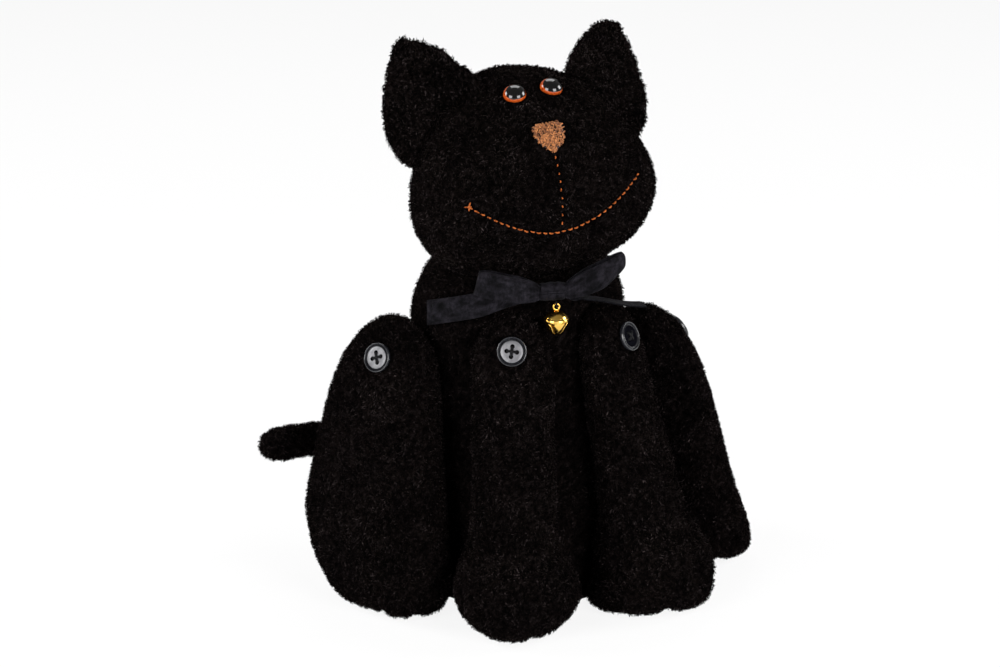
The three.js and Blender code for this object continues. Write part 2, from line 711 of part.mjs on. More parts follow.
function bowKnot() {
  const front = -WAIST_HALF_DEPTH - GAP;
  const back = WAIST_HALF_DEPTH + GAP + RIBBON_THICKNESS + GAP;
  const half = WAIST_HEIGHT / 2 + GAP;
  const side = half + KNOT_WALL;
  const near = front - KNOT_WALL;
  const far = back + KNOT_WALL;
  const outer = new THREE.Shape();
  outer.moveTo(KNOT_CORNER - side, near);
  outer.lineTo(side - KNOT_CORNER, near);
  outer.quadraticCurveTo(side, near, side, near + KNOT_CORNER);
  outer.lineTo(side, far - KNOT_CORNER);
  outer.quadraticCurveTo(side, far, side - KNOT_CORNER, far);
  outer.lineTo(KNOT_CORNER - side, far);
  outer.quadraticCurveTo(-side, far, -side, far - KNOT_CORNER);
  outer.lineTo(-side, near + KNOT_CORNER);
  outer.quadraticCurveTo(-side, near, KNOT_CORNER - side, near);
  const bore = [[-half, front], [-half, back], [half, back], [half, front]];
  outer.holes.push(new THREE.Path(bore.map((p) => new THREE.Vector2(...p))));
  const sweep = { depth: KNOT_WIDTH, steps: 4, bevelEnabled: false, curveSegments: 3 };
  const band = new THREE.ExtrudeGeometry(outer, sweep);
  return reshape(band.translate(0, 0, -KNOT_WIDTH / 2).rotateY(Math.PI / 2), (p) => {
    const swell = 1 + KNOT_BULGE * (1 - (2 * p.x / KNOT_WIDTH) ** 2);
    p.set(p.x, p.y * swell, p.z * swell);
  });
}

function addBow() {
  piece('bow_loops', 'ribbon', bowLoops(), bowFrame);
  piece('bow_streamers', 'ribbon', bowStreamers(), bowFrame);
  piece('bow_knot', 'ribbon', bowKnot(), bowFrame);
}

// The bell hangs from the knot on a small ring of thread and swings about its eyelet
const KNOT_UNDERSIDE = -(WAIST_HEIGHT / 2 + GAP + KNOT_WALL) * (1 + KNOT_BULGE);
const HANGER_MIDDLE = KNOT_UNDERSIDE - GAP - HANGER_THREAD - HANGER_RADIUS;
const EYELET_MIDDLE = HANGER_MIDDLE - HANGER_RADIUS;
const DOME_TOP = -EYELET_RADIUS - EYELET_WIRE - GAP;
const BELL_MIDDLE = DOME_TOP - BELL_DOME;

function domeArc(radius, height, innerRadius, steps) {
  const start = Math.acos(innerRadius / radius);
  return Array.from({ length: steps + 1 }, (_, i) => {
    const angle = start * (1 - i / steps);
    return [radius * Math.cos(angle), height * Math.sin(angle)];
  });
}

function bellUpper() {
  const hole = EYELET_WIRE + GAP;
  const outer = domeArc(BELL_RADIUS, BELL_DOME, hole, 6);
  const inner = domeArc(BELL_RADIUS - BELL_WALL, BELL_DOME - BELL_WALL, hole, 4).reverse();
  return lathe([...outer, ...inner, outer[0]], 16).translate(0, 0, BELL_MIDDLE);
}

function bellLower() {
  const shares = [[1, 0.2], [0.94, 0.36], [0.78, 0.58], [0.55, 0.78], [0.3, 0.93], [0, 1]];
  const skin = (radius, drop) => shares.map(([r, z]) => [radius * r, -drop * z]);
  const rim = BELL_RADIUS + BELL_LIP;
  const outer = [[rim, 0], [rim, -BELL_WALL * 2], ...skin(BELL_RADIUS, BELL_TAPER)];
  const inner = [...skin(BELL_RADIUS - BELL_WALL, BELL_TAPER - BELL_WALL)].reverse();
  const shell = lathe([...outer, ...inner, [BELL_RADIUS - BELL_WALL, 0], [rim, 0]], 16);
  const height = BELL_TAPER * 2;
  const slots = [[2 * rim, BELL_SLOT], [BELL_SLOT, 2 * rim]].map(([wide, deep]) => (
    new THREE.BoxGeometry(wide, deep, height).translate(0, 0, -BELL_SLOT_TOP - height / 2)
  ));
  return cut(shell, ...slots).translate(0, 0, BELL_MIDDLE - GAP);
}

function bellEyelet() {
  const eye = new THREE.TorusGeometry(EYELET_RADIUS, EYELET_WIRE, 6, 16).rotateX(Math.PI / 2);
  const share = EYELET_FOOT / (BELL_RADIUS - BELL_WALL);
  const roof = (BELL_DOME - BELL_WALL) * Math.sqrt(1 - share * share);
  const footTop = BELL_MIDDLE + roof - GAP;
  const stem = rod(EYELET_WIRE, footTop - EYELET_WIRE / 2, -EYELET_RADIUS, 8);
  const foot = rod(EYELET_FOOT, footTop - EYELET_WIRE, footTop, 12);
  return surface(solid(eye).add(solid(stem)).add(solid(foot)));
}

function addBell() {
  const hanger = new THREE.TorusGeometry(HANGER_RADIUS, HANGER_THREAD, 5, 12).rotateY(Math.PI / 2);
  piece('bell_hanger', 'black_thread', hanger.translate(HANGER_OFFSET, 0, HANGER_MIDDLE), bowFrame);
  const bellFrame = new THREE.Group();
  bellFrame.position.set(HANGER_OFFSET, 0, EYELET_MIDDLE);
  bowFrame.add(bellFrame);
  piece('bell_upper', 'brass', bellUpper(), bellFrame);
  piece('bell_lower', 'brass', bellLower(), bellFrame);
  piece('bell_eyelet', 'brass', bellEyelet(), bellFrame);
  const ball = new THREE.SphereGeometry(BELL_BALL_RADIUS, 12, 8);
  const ballDrop = BELL_TAPER - BELL_WALL - BELL_BALL_RADIUS - GAP;
  piece('bell_ball', 'brass', ball.translate(0, 0, BELL_MIDDLE - ballDrop), bellFrame);
}

addHead();
addEars();
addEmbroidery();
addLegs();
addBody();
addTail();
addBow();
addBell();

export default model;
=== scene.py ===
"""Looks of the weighted fabric door stop: a seated cat of black terry plush."""

import json
import math

import bmesh
import bpy
import numpy as np
from mathutils import Matrix, Vector
from mathutils.bvhtree import BVHTree

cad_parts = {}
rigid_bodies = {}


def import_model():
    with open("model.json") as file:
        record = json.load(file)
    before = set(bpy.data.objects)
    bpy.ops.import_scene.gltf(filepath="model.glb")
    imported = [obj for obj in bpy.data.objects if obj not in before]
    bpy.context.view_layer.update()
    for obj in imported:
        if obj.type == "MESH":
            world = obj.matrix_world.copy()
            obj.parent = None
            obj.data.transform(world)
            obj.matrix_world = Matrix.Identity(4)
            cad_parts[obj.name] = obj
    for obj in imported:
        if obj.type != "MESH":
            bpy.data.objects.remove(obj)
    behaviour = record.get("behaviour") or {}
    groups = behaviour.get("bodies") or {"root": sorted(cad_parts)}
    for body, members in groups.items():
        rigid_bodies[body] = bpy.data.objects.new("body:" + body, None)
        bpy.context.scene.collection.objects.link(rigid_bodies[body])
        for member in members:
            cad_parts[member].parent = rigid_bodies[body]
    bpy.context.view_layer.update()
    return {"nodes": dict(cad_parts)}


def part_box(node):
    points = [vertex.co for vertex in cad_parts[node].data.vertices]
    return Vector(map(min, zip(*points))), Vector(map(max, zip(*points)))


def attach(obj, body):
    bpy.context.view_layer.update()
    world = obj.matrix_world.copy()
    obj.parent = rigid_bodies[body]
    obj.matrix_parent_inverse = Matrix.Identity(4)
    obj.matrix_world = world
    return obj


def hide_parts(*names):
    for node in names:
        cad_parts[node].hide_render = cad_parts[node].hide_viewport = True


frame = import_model()

MM = 0.001

# Camera: the photograph's frame is 1000 by 667 pixels
PHOTO_WIDTH = 1000
SENSOR_WIDTH = 36
CAMERA_AZIMUTH = -28
CAMERA_ELEVATION = 17
CAMERA_DISTANCE = 1.2
CAMERA_TARGET = Vector((-7.9, 3.9, 111)) * MM
METRES_PER_PIXEL = 0.44 * MM

# Head frame, in millimetres and degrees
HEAD_PLACE = (-3.5, -10.5, 187)
HEAD_TURN, HEAD_NOD, HEAD_LEAN = -10, -17, -6.5
FACE_SLANT = 0.045
MOUTH_HALF_WIDTH = 37.8
MOUTH_END_Z = -10.5
MOUTH_LOW_Z = -28
MOUTH_SHAPE = 1.9
NOSE_MIDDLE = (0, 11)
NOSE_OUTLINE = [
    (-6.5, 16.6), (-3, 17.6), (3, 17.6), (6.5, 16.4), (6.9, 12.4),
    (4.8, 7.8), (0.9, 4.9), (-1, 5.2), (-4.7, 8.4), (-6.6, 12.3),
]
NOSE_POINT_Z = 4.1

# Legs: how far each one's toes are turned, and its creases as (angle from the toes, height)
LEG_TURN = {"front_right": -30, "front_left": 29, "hind_right": 21, "hind_left": 12}
FRONT_CREASES = [
    ([(-80, 38), (-40, 34), (0, 33), (40, 34), (80, 38)], 1.9, 2.6),
    ([(-46, 30), (-56, 20), (-54, 9), (-44, 2)], 2.1, 3.0),
    ([(36, 28), (34, 16), (28, 6), (26, 1)], 1.9, 2.8),
    ([(-90, 130), (-92, 70), (-95, 36), (-100, 0)], 1.1, 1.6),
    ([(90, 130), (92, 70), (95, 36), (100, 0)], 1.1, 1.6),
]
HIND_CREASES = [
    ([(-90, 125), (-95, 70), (-100, 36), (-112, 0)], 1.1, 1.6),
    ([(90, 125), (95, 70), (100, 36), (112, 0)], 1.1, 1.6),
    ([(-60, 2), (-64, 14), (-52, 26), (-30, 33)], 2.2, 3.2),
    ([(60, 2), (64, 14), (52, 26), (30, 33)], 2.2, 3.2),
    ([(-15, 1), (-12, 12), (4, 20)], 1.6, 2.8),
]

# Fuller places of a leg: (angle from the toes, spread), (height, spread), reach
LEG_BULGES = {
    "front_left": [((-132, 34), (0, 10), 13), ((-88, 34), (2, 9), 6.5), ((25, 45), (0, 8), 3.5)],
    "hind_left": [((90, 55), (58, 40), 6)],
    "hind_right": [((-75, 50), (8, 16), -3), ((-90, 50), (64, 40), 1.8)],
    "front_right": [((82, 35), (17, 8), 2.5)],
}

# Mean radius of a leg, by which an angle round it becomes a length
LEG_RADIUS = 24

# The shoulders stand this far towards the cat's right: reach, and the heights where it sets in
SHOULDER_RIGHT = (1.7, 108, 122)
SHOULDER_LEFT = (1.2, 129, 138)
# They set in over this distance from the middle
SHOULDER_SPAN = (8, 30)

# The body keeps its solid's shape near the floor and within the ballast's pocket, which has
# this half width, half depth and height
POCKET = (36, 30, 64)
SOLE_HEIGHT = 4

# Where an ear meets the head: how near, and how far it is drawn in
EAR_FOOT = 4
EAR_PULL = 1.6

# Button and eye sizes
BUTTON_RADIUS = 6.35
BUTTON_THICKNESS = 2.2
# Radius of the button face that takes the painted reflection
REFLECTION_FACE_RADIUS = 4.75
# These buttons get a near-black face in place of the grey one: painted shade, for the same button turned so
# that its face catches less light
SHADED_FACE_BUTTONS = ["front_left"]
BUTTON_SPIN = {"front_right": 8, "front_left": 20, "hind_right": 5, "hind_left": 10}
EYE_RADIUS = 4.85
EYE_DOME = 3.4
# The pupil: its share of the dome's rings, its shift to the front, and its half sizes
PUPIL_SHARE = 0.9
PUPIL_SHIFT = 0.85
PUPIL_REACH = 3.86
PUPIL_WIDTH = 4.4

# Bow frame and ribbon
BOW_PLACE = (-9.3, -45.7, 143)
BOW_TURN = -16
RIBBON_WIDTH = 11
RIBBON_THICKNESS = 0.55
LOOP_REACH = 31.6
LOOP_ROUND_START = 22.4
LOOP_LENGTH = 129
KNOT_LENGTH = 22
LOOP_HALF_DEPTH = 2.8
WAIST_HALF_DEPTH = 0.8
KNOT_EXIT = 5.8
WAIST_HEIGHT = 5.4
WAIST_REACH = 14
STREAMER_WAIST_REACH = 28
LOOP_CURVE = {"right": 0.006, "left": 0.001}
LOOP_RISE = {"right": 0.18, "left": 0.4}
STREAMER_REACH = {"right": 50, "left": 43}
STREAMER_DROP = {"right": 0.26, "left": 0.242}
STREAMER_SAG = {"right": 0.5, "left": 2.4}
STREAMER_CURVE = 0.0082
STREAMER_TWIST = math.radians(95)
STREAMER_TWIST_END = 13
STREAMER_FORWARD = 3

# Bell, in a frame at its eyelet
BELL_OFFSET = 1.8
BELL_EYELET_DROP = 6.732
BELL_MIDDLE = -5.4
BELL_SPIN = -38
BELL_WALL = 0.4
# How much of their drawn height the dome and the lower half get
DOME_SHARE = 0.82
TAPER_SHARE = 1.13


def smoothstep(x, low, high):
    t = np.clip((x - low) / (high - low), 0, 1)
    return t * t * (3 - 2 * t)


def rotation_z(degrees):
    return Matrix.Rotation(math.radians(degrees), 4, "Z")


head_matrix = (
    Matrix.Translation(Vector(HEAD_PLACE) * MM)
    @ rotation_z(HEAD_TURN)
    @ Matrix.Rotation(math.radians(HEAD_NOD), 4, "X")
    @ Matrix.Rotation(math.radians(HEAD_LEAN), 4, "Y")
)
bow_matrix = Matrix.Translation(Vector(BOW_PLACE) * MM) @ rotation_z(BOW_TURN)


def carried(points, matrix):
    """Points in millimetres of a local frame, carried to metres of the part's frame."""
    m = np.array(matrix)
    return np.asarray(points, float) * MM @ m[:3, :3].T + m[:3, 3]


def local(points, matrix):
    """Points in metres of the part's frame, in millimetres of a local frame."""
    m = np.array(matrix.inverted())
    return (points @ m[:3, :3].T + m[:3, 3]) / MM


# Mesh helpers


def link(name, mesh):
    obj = bpy.data.objects.new(name, mesh)
    bpy.context.scene.collection.objects.link(obj)
    return obj


def object_from(name, points, faces, material):
    mesh = bpy.data.meshes.new(name)
    mesh.from_pydata([tuple(p) for p in points], [], [tuple(int(i) for i in f) for f in faces])
    mesh.polygons.foreach_set("use_smooth", [True] * len(mesh.polygons))
    for m in material if isinstance(material, list) else [material]:
        mesh.materials.append(m)
    mesh.validate()
    mesh.update()
    return link(name, mesh)


def apply_modifiers(obj):
    graph = bpy.context.evaluated_depsgraph_get()
    mesh = bpy.data.meshes.new_from_object(obj.evaluated_get(graph), depsgraph=graph)
    obj.modifiers.clear()
    obj.data = mesh


def coordinates(mesh):
    co = np.empty(len(mesh.vertices) * 3, np.float32)
    mesh.vertices.foreach_get("co", co)
    return co.reshape(-1, 3).astype(float)


def vertex_normals(mesh):
    no = np.empty(len(mesh.vertices) * 3, np.float32)
    mesh.vertex_normals.foreach_get("vector", no)
    return no.reshape(-1, 3).astype(float)


def set_coordinates(mesh, points):
    mesh.vertices.foreach_set("co", points.astype(np.float32).ravel())
    mesh.update()


def corners(mesh):
    """The mesh's faces as one array of four corners; all faces are quads after a subdivision."""
    ids = np.empty(len(mesh.loops), np.int32)
    mesh.loops.foreach_get("vertex_index", ids)
    return ids.reshape(-1, 4)


def tube(points, radius, sides=6, flare=1.0):
    """A closed tube along a list of points, its ends drawn in; flare widens the middle."""
    points = np.asarray(points, float)
    count = len(points)
    ahead = np.gradient(points, axis=0)
    ahead /= np.linalg.norm(ahead, axis=1)[:, None]
    first = np.cross(ahead[0], (0.31, 0.22, 0.92))
    verts, faces = [points[0] - ahead[0] * radius * 0.35], []
    side = first / np.linalg.norm(first)
    for i in range(count):
        side = side - ahead[i] * (side @ ahead[i])
        side /= np.linalg.norm(side)
        over = np.cross(ahead[i], side)
        end = min(i, count - 1 - i)
        r = radius * (0.62 if end == 0 else 1) * (1 + (flare - 1) * math.sin(math.pi * i / (count - 1)))
        for k in range(sides):
            angle = 2 * math.pi * k / sides
            verts.append(points[i] + r * (math.cos(angle) * side + math.sin(angle) * over))
    verts.append(points[-1] + ahead[-1] * radius * 0.35)
    for k in range(sides):
        n = (k + 1) % sides
        faces.append((0, 1 + n, 1 + k))
        for i in range(count - 1):
            a, b = 1 + i * sides, 1 + (i + 1) * sides
            faces.append((a + k, a + n, b + n, b + k))
        last = 1 + (count - 1) * sides
        faces.append((last + k, last + n, last + sides))
    return np.array(verts), faces


def joined(parts):
    """Several (points, faces) as one."""
    points, faces, shift = [], [], 0
    for p, f in parts:
        points.append(np.asarray(p, float))
        faces += [tuple(i + shift for i in face) for face in f]
        shift += len(p)
    return np.concatenate(points), faces


def lathe(profile, around):
    """A profile of (radius, height) turned round Z; points on the axis become one vertex."""
    verts, rows, faces = [], [], []
    for r, z in profile:
        if r < 1e-9:
            rows.append([len(verts)])
            verts.append((0, 0, z))
            continue
        rows.append(list(range(len(verts), len(verts) + around)))
        for k in range(around):
            angle = 2 * math.pi * k / around
            verts.append((r * math.cos(angle), r * math.sin(angle), z))
    for a, b in zip(rows, rows[1:]):
        for k in range(around):
            n = (k + 1) % around
            face = [a[k % len(a)], a[n % len(a)], b[n % len(b)], b[k % len(b)]]
            kept = [v for i, v in enumerate(face) if v not in face[:i]]
            if len(kept) > 2:
                faces.append(tuple(kept))
    return np.array(verts, float), faces


def torus(radius, wire, around=32, sides=12):
    """A ring in the XZ plane."""
    verts, faces = [], []
    for i in range(around):
        turn = 2 * math.pi * i / around
        for k in range(sides):
            angle = 2 * math.pi * k / sides
            r = radius + wire * math.cos(angle)
            verts.append((r * math.cos(turn), wire * math.sin(angle), r * math.sin(turn)))
            n, m = (i + 1) % around, (k + 1) % sides
            faces.append((i * sides + k, i * sides + m, n * sides + m, n * sides + k))
    return np.array(verts), faces


# Noise on arrays of points


def lattice(cell, seed):
    """A steady random share for each whole-numbered cell."""
    h = cell[..., 0] * 73856093 ^ cell[..., 1] * 19349663 ^ cell[..., 2] * 83492791 ^ seed * 2654435761
    h = (h ^ (h >> 13)) * 1274126177 & 0x7FFFFFFF
    h = (h ^ (h >> 16)) * 668265263 & 0x7FFFFFFF
    return (h & 0xFFFFF) / 0xFFFFF


def value_noise(points, size, seed):
    """Smooth noise from -1 to 1 with features of the given size."""
    p = points / size
    whole = np.floor(p).astype(np.int64)
    part = p - whole
    part = part * part * (3 - 2 * part)
    total = np.zeros(len(p))
    for dx in (0, 1):
        for dy in (0, 1):
            for dz in (0, 1):
                step = np.array((dx, dy, dz))
                weight = np.prod(np.where(step, part, 1 - part), axis=1)
                total += weight * lattice(whole + step, seed)
    return 2 * total - 1


def loop_bumps(points, size, seed):
    """Rounded bumps, one for each random cell, as the loops of terry pile: 0 between them, 1 on top."""
    p = points / size
    whole = np.floor(p).astype(np.int64)
    nearest = np.full(len(p), 9.0)
    for dx in (-1, 0, 1):
        for dy in (-1, 0, 1):
            for dz in (-1, 0, 1):
                cell = whole + np.array((dx, dy, dz))
                spot = cell + np.stack([lattice(cell, seed + k) for k in range(3)], 1)
                nearest = np.minimum(nearest, ((p - spot) ** 2).sum(1))
    return np.clip(1 - nearest / 0.55, 0, 1)


def near_line(u, v, line):
    """Distance of points (u, v) from a line through the given points."""
    best = np.full(len(u), 1e9)
    for (a, b), (c, d) in zip(line, line[1:]):
        length = (c - a) ** 2 + (d - b) ** 2
        t = np.clip(((u - a) * (c - a) + (v - b) * (d - b)) / length, 0, 1)
        best = np.minimum(best, np.hypot(u - a - t * (c - a), v - b - t * (d - b)))
    return best


# Materials


class Finish:
    """A material on a Principled shader, with a few helpers for its nodes."""

    def __init__(self, name, color, **inputs):
        self.material = bpy.data.materials.new(name)
        self.material.use_nodes = True
        tree = self.material.node_tree
        self.nodes, self.links = tree.nodes, tree.links
        self.shader = self.nodes["Principled BSDF"]
        self.shader.inputs["Base Color"].default_value = (*color, 1)
        self.material.diffuse_color = (*color, 1)
        for key, value in inputs.items():
            socket = self.shader.inputs[key.replace("_", " ").title().replace("Ior", "IOR")]
            socket.default_value = value

    def node(self, kind, **settings):
        made = self.nodes.new(kind)
        for key, value in settings.items():
            setattr(made, key, value)
        return made

    def place(self):
        return self.node("ShaderNodeTexCoord").outputs["Object"]

    def attribute(self, name):
        return self.node("ShaderNodeAttribute", attribute_name=name)

    def noise(self, size, detail=2.0, where=None, rough=0.5):
        made = self.node("ShaderNodeTexNoise")
        made.inputs["Scale"].default_value = 1 / size
        made.inputs["Detail"].default_value = detail
        made.inputs["Roughness"].default_value = rough
        self.links.new(where or self.place(), made.inputs["Vector"])
        return made.outputs["Fac"]

    def cells(self, size):
        made = self.node("ShaderNodeTexVoronoi")
        made.inputs["Scale"].default_value = 1 / size
        self.links.new(self.place(), made.inputs["Vector"])
        return made.outputs["Distance"]

    def wave(self, size, where, axis, distortion=0.0):
        made = self.node("ShaderNodeTexWave", bands_direction=axis)
        made.inputs["Scale"].default_value = math.pi / (10 * size)
        made.inputs["Distortion"].default_value = distortion
        made.inputs["Detail Scale"].default_value = 4
        self.links.new(where, made.inputs["Vector"])
        return made.outputs["Fac"]

    def product(self, a, b):
        made = self.node("ShaderNodeMath", operation="MULTIPLY")
        self.links.new(a, made.inputs[0])
        self.links.new(b, made.inputs[1])
        return made.outputs[0]

    def ramp(self, value, *stops):
        """Colours at positions along a value."""
        made = self.node("ShaderNodeValToRGB")
        elements = made.color_ramp.elements
        while len(elements) < len(stops):
            elements.new(0.5)
        for element, (position, color) in zip(elements, stops):
            element.position = position
            element.color = (*color, 1)
        self.links.new(value, made.inputs["Fac"])
        return made.outputs["Color"]

    def multiply(self, a, b):
        made = self.node("ShaderNodeMix", data_type="RGBA", blend_type="MULTIPLY")
        made.inputs["Factor"].default_value = 1
        self.links.new(a, made.inputs["A"])
        self.links.new(b, made.inputs["B"])
        return made.outputs["Result"]

    def color(self, output):
        self.links.new(output, self.shader.inputs["Base Color"])

    def roughness(self, value, low, high):
        made = self.node("ShaderNodeMapRange")
        made.inputs["To Min"].default_value = low
        made.inputs["To Max"].default_value = high
        self.links.new(value, made.inputs["Value"])
        self.links.new(made.outputs["Result"], self.shader.inputs["Roughness"])

    def bump(self, height, depth, strength=1.0):
        made = self.node("ShaderNodeBump")
        made.inputs["Strength"].default_value = strength
        made.inputs["Distance"].default_value = depth
        self.links.new(height, made.inputs["Height"])
        previous = self.shader.inputs["Normal"]
        if previous.is_linked:
            self.links.new(previous.links[0].from_socket, made.inputs["Normal"])
        self.links.new(made.outputs["Normal"], previous)


def plush_finish():
    f = Finish("black_terry_plush", (0.004, 0.0033, 0.0032), roughness=0.9, specular_ior_level=0.0)
    f.shader.inputs["Sheen Weight"].default_value = 0.05
    f.shader.inputs["Sheen Roughness"].default_value = 0.25
    f.shader.inputs["Sheen Tint"].default_value = (0.62, 0.5, 0.44, 1)
    mottle = f.ramp(f.noise(14 * MM, 3), (0.3, (0.55, 0.52, 0.5)), (0.7, (1.25, 1.15, 1.08)))
    # Painted shade: darker away from each cell's middle, in the hollows between the terry loops
    loops = f.ramp(f.cells(1.3 * MM), (0.15, (1.0, 0.97, 0.94)), (0.8, (0.45, 0.44, 0.45)))
    grain = f.ramp(f.noise(0.55 * MM, 2, None, 0.7), (0.36, (0.3, 0.3, 0.32)), (0.66, (2.3, 2.2, 2.15)))
    # Painted light along the pile: near-black at the roots and low in the pile as painted shade, bright at
    # the blade tips as painted highlight
    pile_shade_and_highlight = f.ramp(
        f.attribute("pile").outputs["Fac"],
        (0.0, (0.0006, 0.00055, 0.0006)), (0.35, (0.0028, 0.0024, 0.0025)),
        (0.7, (0.0118, 0.0105, 0.0115)), (1.0, (0.058, 0.0525, 0.057)),
    )
    f.color(f.multiply(f.multiply(f.multiply(pile_shade_and_highlight, loops), grain), mottle))
    f.roughness(f.noise(6 * MM), 0.85, 1.0)
    f.bump(f.noise(0.8 * MM, 3), 0.5 * MM, 0.8)
    return f.material


def ribbon_finish():
    f = Finish("blue_black_tape", (0.011, 0.0105, 0.014), roughness=0.75, specular_ior_level=0.03)
    f.shader.inputs["Sheen Weight"].default_value = 0.01
    f.shader.inputs["Sheen Roughness"].default_value = 0.4
    cloth = f.attribute("cloth").outputs["Vector"]
    warp = f.wave(0.42 * MM, cloth, "X", 0.6)
    weft = f.wave(0.34 * MM, cloth, "Y", 0.6)
    weave = f.product(warp, weft)
    shade = f.ramp(weave, (0.0, (0.002, 0.002, 0.003)), (0.8, (0.0145, 0.0132, 0.0165)))
    streaks = f.ramp(f.noise(2.2 * MM, 5, cloth, 0.75), (0.36, (0.3, 0.3, 0.32)), (0.66, (1.9, 1.86, 1.82)))
    patches = f.ramp(f.noise(5 * MM, 2, cloth), (0.36, (0.36, 0.36, 0.36)), (0.64, (1.5, 1.48, 1.46)))
    f.color(f.multiply(f.multiply(shade, streaks), patches))
    f.bump(weave, 0.09 * MM, 0.7)
    f.bump(f.noise(1.6 * MM, 3, cloth), 0.3 * MM, 0.6)
    return f.material


def thread_finish(name, dark, light, size):
    f = Finish(name, light, roughness=0.7, specular_ior_level=0.05)
    f.color(f.ramp(f.noise(size, 3), (0.3, dark), (0.65, light)))
    f.bump(f.noise(0.22 * MM, 2), 0.12 * MM, 0.8)
    return f.material


def satin_finish():
    f = Finish("copper_satin_stitches", (0.45, 0.18, 0.07), roughness=0.55, specular_ior_level=0.35)
    tone = f.ramp(
        f.attribute("tone").outputs["Fac"],
        (0.0, (0.02, 0.005, 0.002)), (0.3, (0.12, 0.035, 0.01)), (1.0, (0.5, 0.2, 0.065)),
    )
    fleck = f.ramp(f.noise(0.6 * MM, 3), (0.3, (0.6, 0.55, 0.5)), (0.7, (1.1, 1.1, 1.1)))
    f.color(f.multiply(tone, fleck))
    f.bump(f.noise(0.3 * MM, 2), 0.15 * MM, 0.8)
    return f.material


def brass_finish():
    f = Finish("polished_brass", (0.83, 0.5, 0.1), roughness=0.14, metallic=1.0)
    tone = f.ramp(f.noise(3 * MM, 2), (0.3, (0.78, 0.45, 0.08)), (0.7, (0.9, 0.58, 0.14)))
    f.color(tone)
    f.roughness(f.noise(0.9 * MM, 4), 0.1, 0.24)
    f.bump(f.noise(1.6 * MM, 2), 0.05 * MM, 0.25)
    return f.material


def button_finish():
    f = Finish("dark_pearl_resin", (0.009, 0.0095, 0.013), roughness=0.2, specular_ior_level=0.5)
    f.shader.inputs["Coat Weight"].default_value = 0.2
    f.shader.inputs["Coat Roughness"].default_value = 0.12
    clouds = f.noise(4 * MM, 4, None, 0.65)
    f.color(f.ramp(clouds, (0.3, (0.006, 0.006, 0.008)), (0.75, (0.02, 0.021, 0.024))))
    f.roughness(f.noise(0.6 * MM, 3), 0.14, 0.26)
    f.bump(f.noise(0.5 * MM, 3), 0.03 * MM, 0.4)
    return f.material


# Painted shade: a near-black copy of the button face, for a button whose face catches less light
def painted_shade_face_finish():
    f = Finish("button_face_painted_shade", (0.002, 0.002, 0.003), roughness=0.7, specular_ior_level=0.0)
    f.color(f.ramp(f.noise(3 * MM, 3), (0.3, (0.0012, 0.0012, 0.0018)), (0.7, (0.003, 0.003, 0.0045))))
    f.bump(f.noise(0.5 * MM, 3), 0.03 * MM, 0.4)
    return f.material


# Partly real gloss, partly painted reflection: the black button face is given a grey colour for the lamp
# light it reflects
def painted_reflection_face_finish():
    f = Finish("grey_face_painted_reflection", (0.16, 0.158, 0.165), roughness=0.5, metallic=0.6)
    clouds = f.noise(2.5 * MM, 4, None, 0.65)
    f.color(f.ramp(clouds, (0.3, (0.1, 0.098, 0.106)), (0.75, (0.2, 0.198, 0.205))))
    f.bump(f.noise(0.5 * MM, 3), 0.03 * MM, 0.4)
    return f.material


def eye_finishes():
    pupil = Finish("eye_pupil", (0.0012, 0.001, 0.001), roughness=0.03, specular_ior_level=0.5)
    pupil.roughness(pupil.noise(3 * MM), 0.02, 0.05)
    iris = Finish("eye_amber", (0.3, 0.045, 0.006), roughness=0.06, specular_ior_level=0.4)
    iris.color(iris.ramp(iris.noise(0.7 * MM, 3), (0.35, (0.2, 0.022, 0.003)), (0.7, (0.42, 0.075, 0.01))))
    return [pupil.material, iris.material]


def lining_finish():
    f = Finish("black_lining_cloth", (0.012, 0.011, 0.0105), roughness=0.9, specular_ior_level=0.2)
    weave = f.product(f.wave(0.6 * MM, f.place(), "X"), f.wave(0.6 * MM, f.place(), "Y"))
    f.color(f.ramp(weave, (0.0, (0.006, 0.0055, 0.0055)), (0.9, (0.02, 0.018, 0.017))))
    f.bump(weave, 0.15 * MM, 0.8)
    return f.material


def bag_finish():
    f = Finish("undyed_cotton", (0.46, 0.4, 0.31), roughness=0.95)
    weave = f.product(f.wave(0.8 * MM, f.place(), "X"), f.wave(0.8 * MM, f.place(), "Z"))
    f.color(f.ramp(weave, (0.0, (0.3, 0.25, 0.18)), (0.9, (0.52, 0.46, 0.36))))
    f.bump(weave, 0.2 * MM, 0.8)
    return f.material


def nylon_finish():
    f = Finish("moulded_nylon", (0.7, 0.69, 0.65), roughness=0.45)
    f.color(f.ramp(f.noise(2 * MM), (0.3, (0.66, 0.65, 0.6)), (0.7, (0.74, 0.73, 0.69))))
    f.roughness(f.noise(0.8 * MM), 0.38, 0.55)
    return f.material


plush = plush_finish()
ribbon = ribbon_finish()
copper = thread_finish("copper_thread", (0.11, 0.022, 0.005), (0.42, 0.11, 0.026), 0.9 * MM)
satin = satin_finish()
black_thread = thread_finish("black_thread", (0.003, 0.003, 0.003), (0.011, 0.011, 0.012), 0.5 * MM)
brass = brass_finish()
resin = button_finish()
painted_reflection_face = painted_reflection_face_finish()
painted_shade_face = painted_shade_face_finish()
eye_materials = eye_finishes()
lining = lining_finish()
bag = bag_finish()
nylon = nylon_finish()


# Frames of the buttons and eyes, taken from the flat pieces that mark them


def flat_frame(node, away_from):
    """Middle of a flat round node, and its axis pointing away from a point."""
    points = coordinates(frame["nodes"][node].data)
    unique = np.unique(points.round(6), axis=0)
    middle = unique.mean(0)
    axis = np.linalg.svd(unique - middle)[2][2]
    if axis @ (middle - away_from) < 0:
        axis = -axis
    return middle, axis


def facing(place, axis, spin=0.0):
    turn = Vector((0, 0, 1)).rotation_difference(Vector(axis)).to_matrix().to_4x4()
    return Matrix.Translation(Vector(place)) @ turn @ rotation_z(spin)


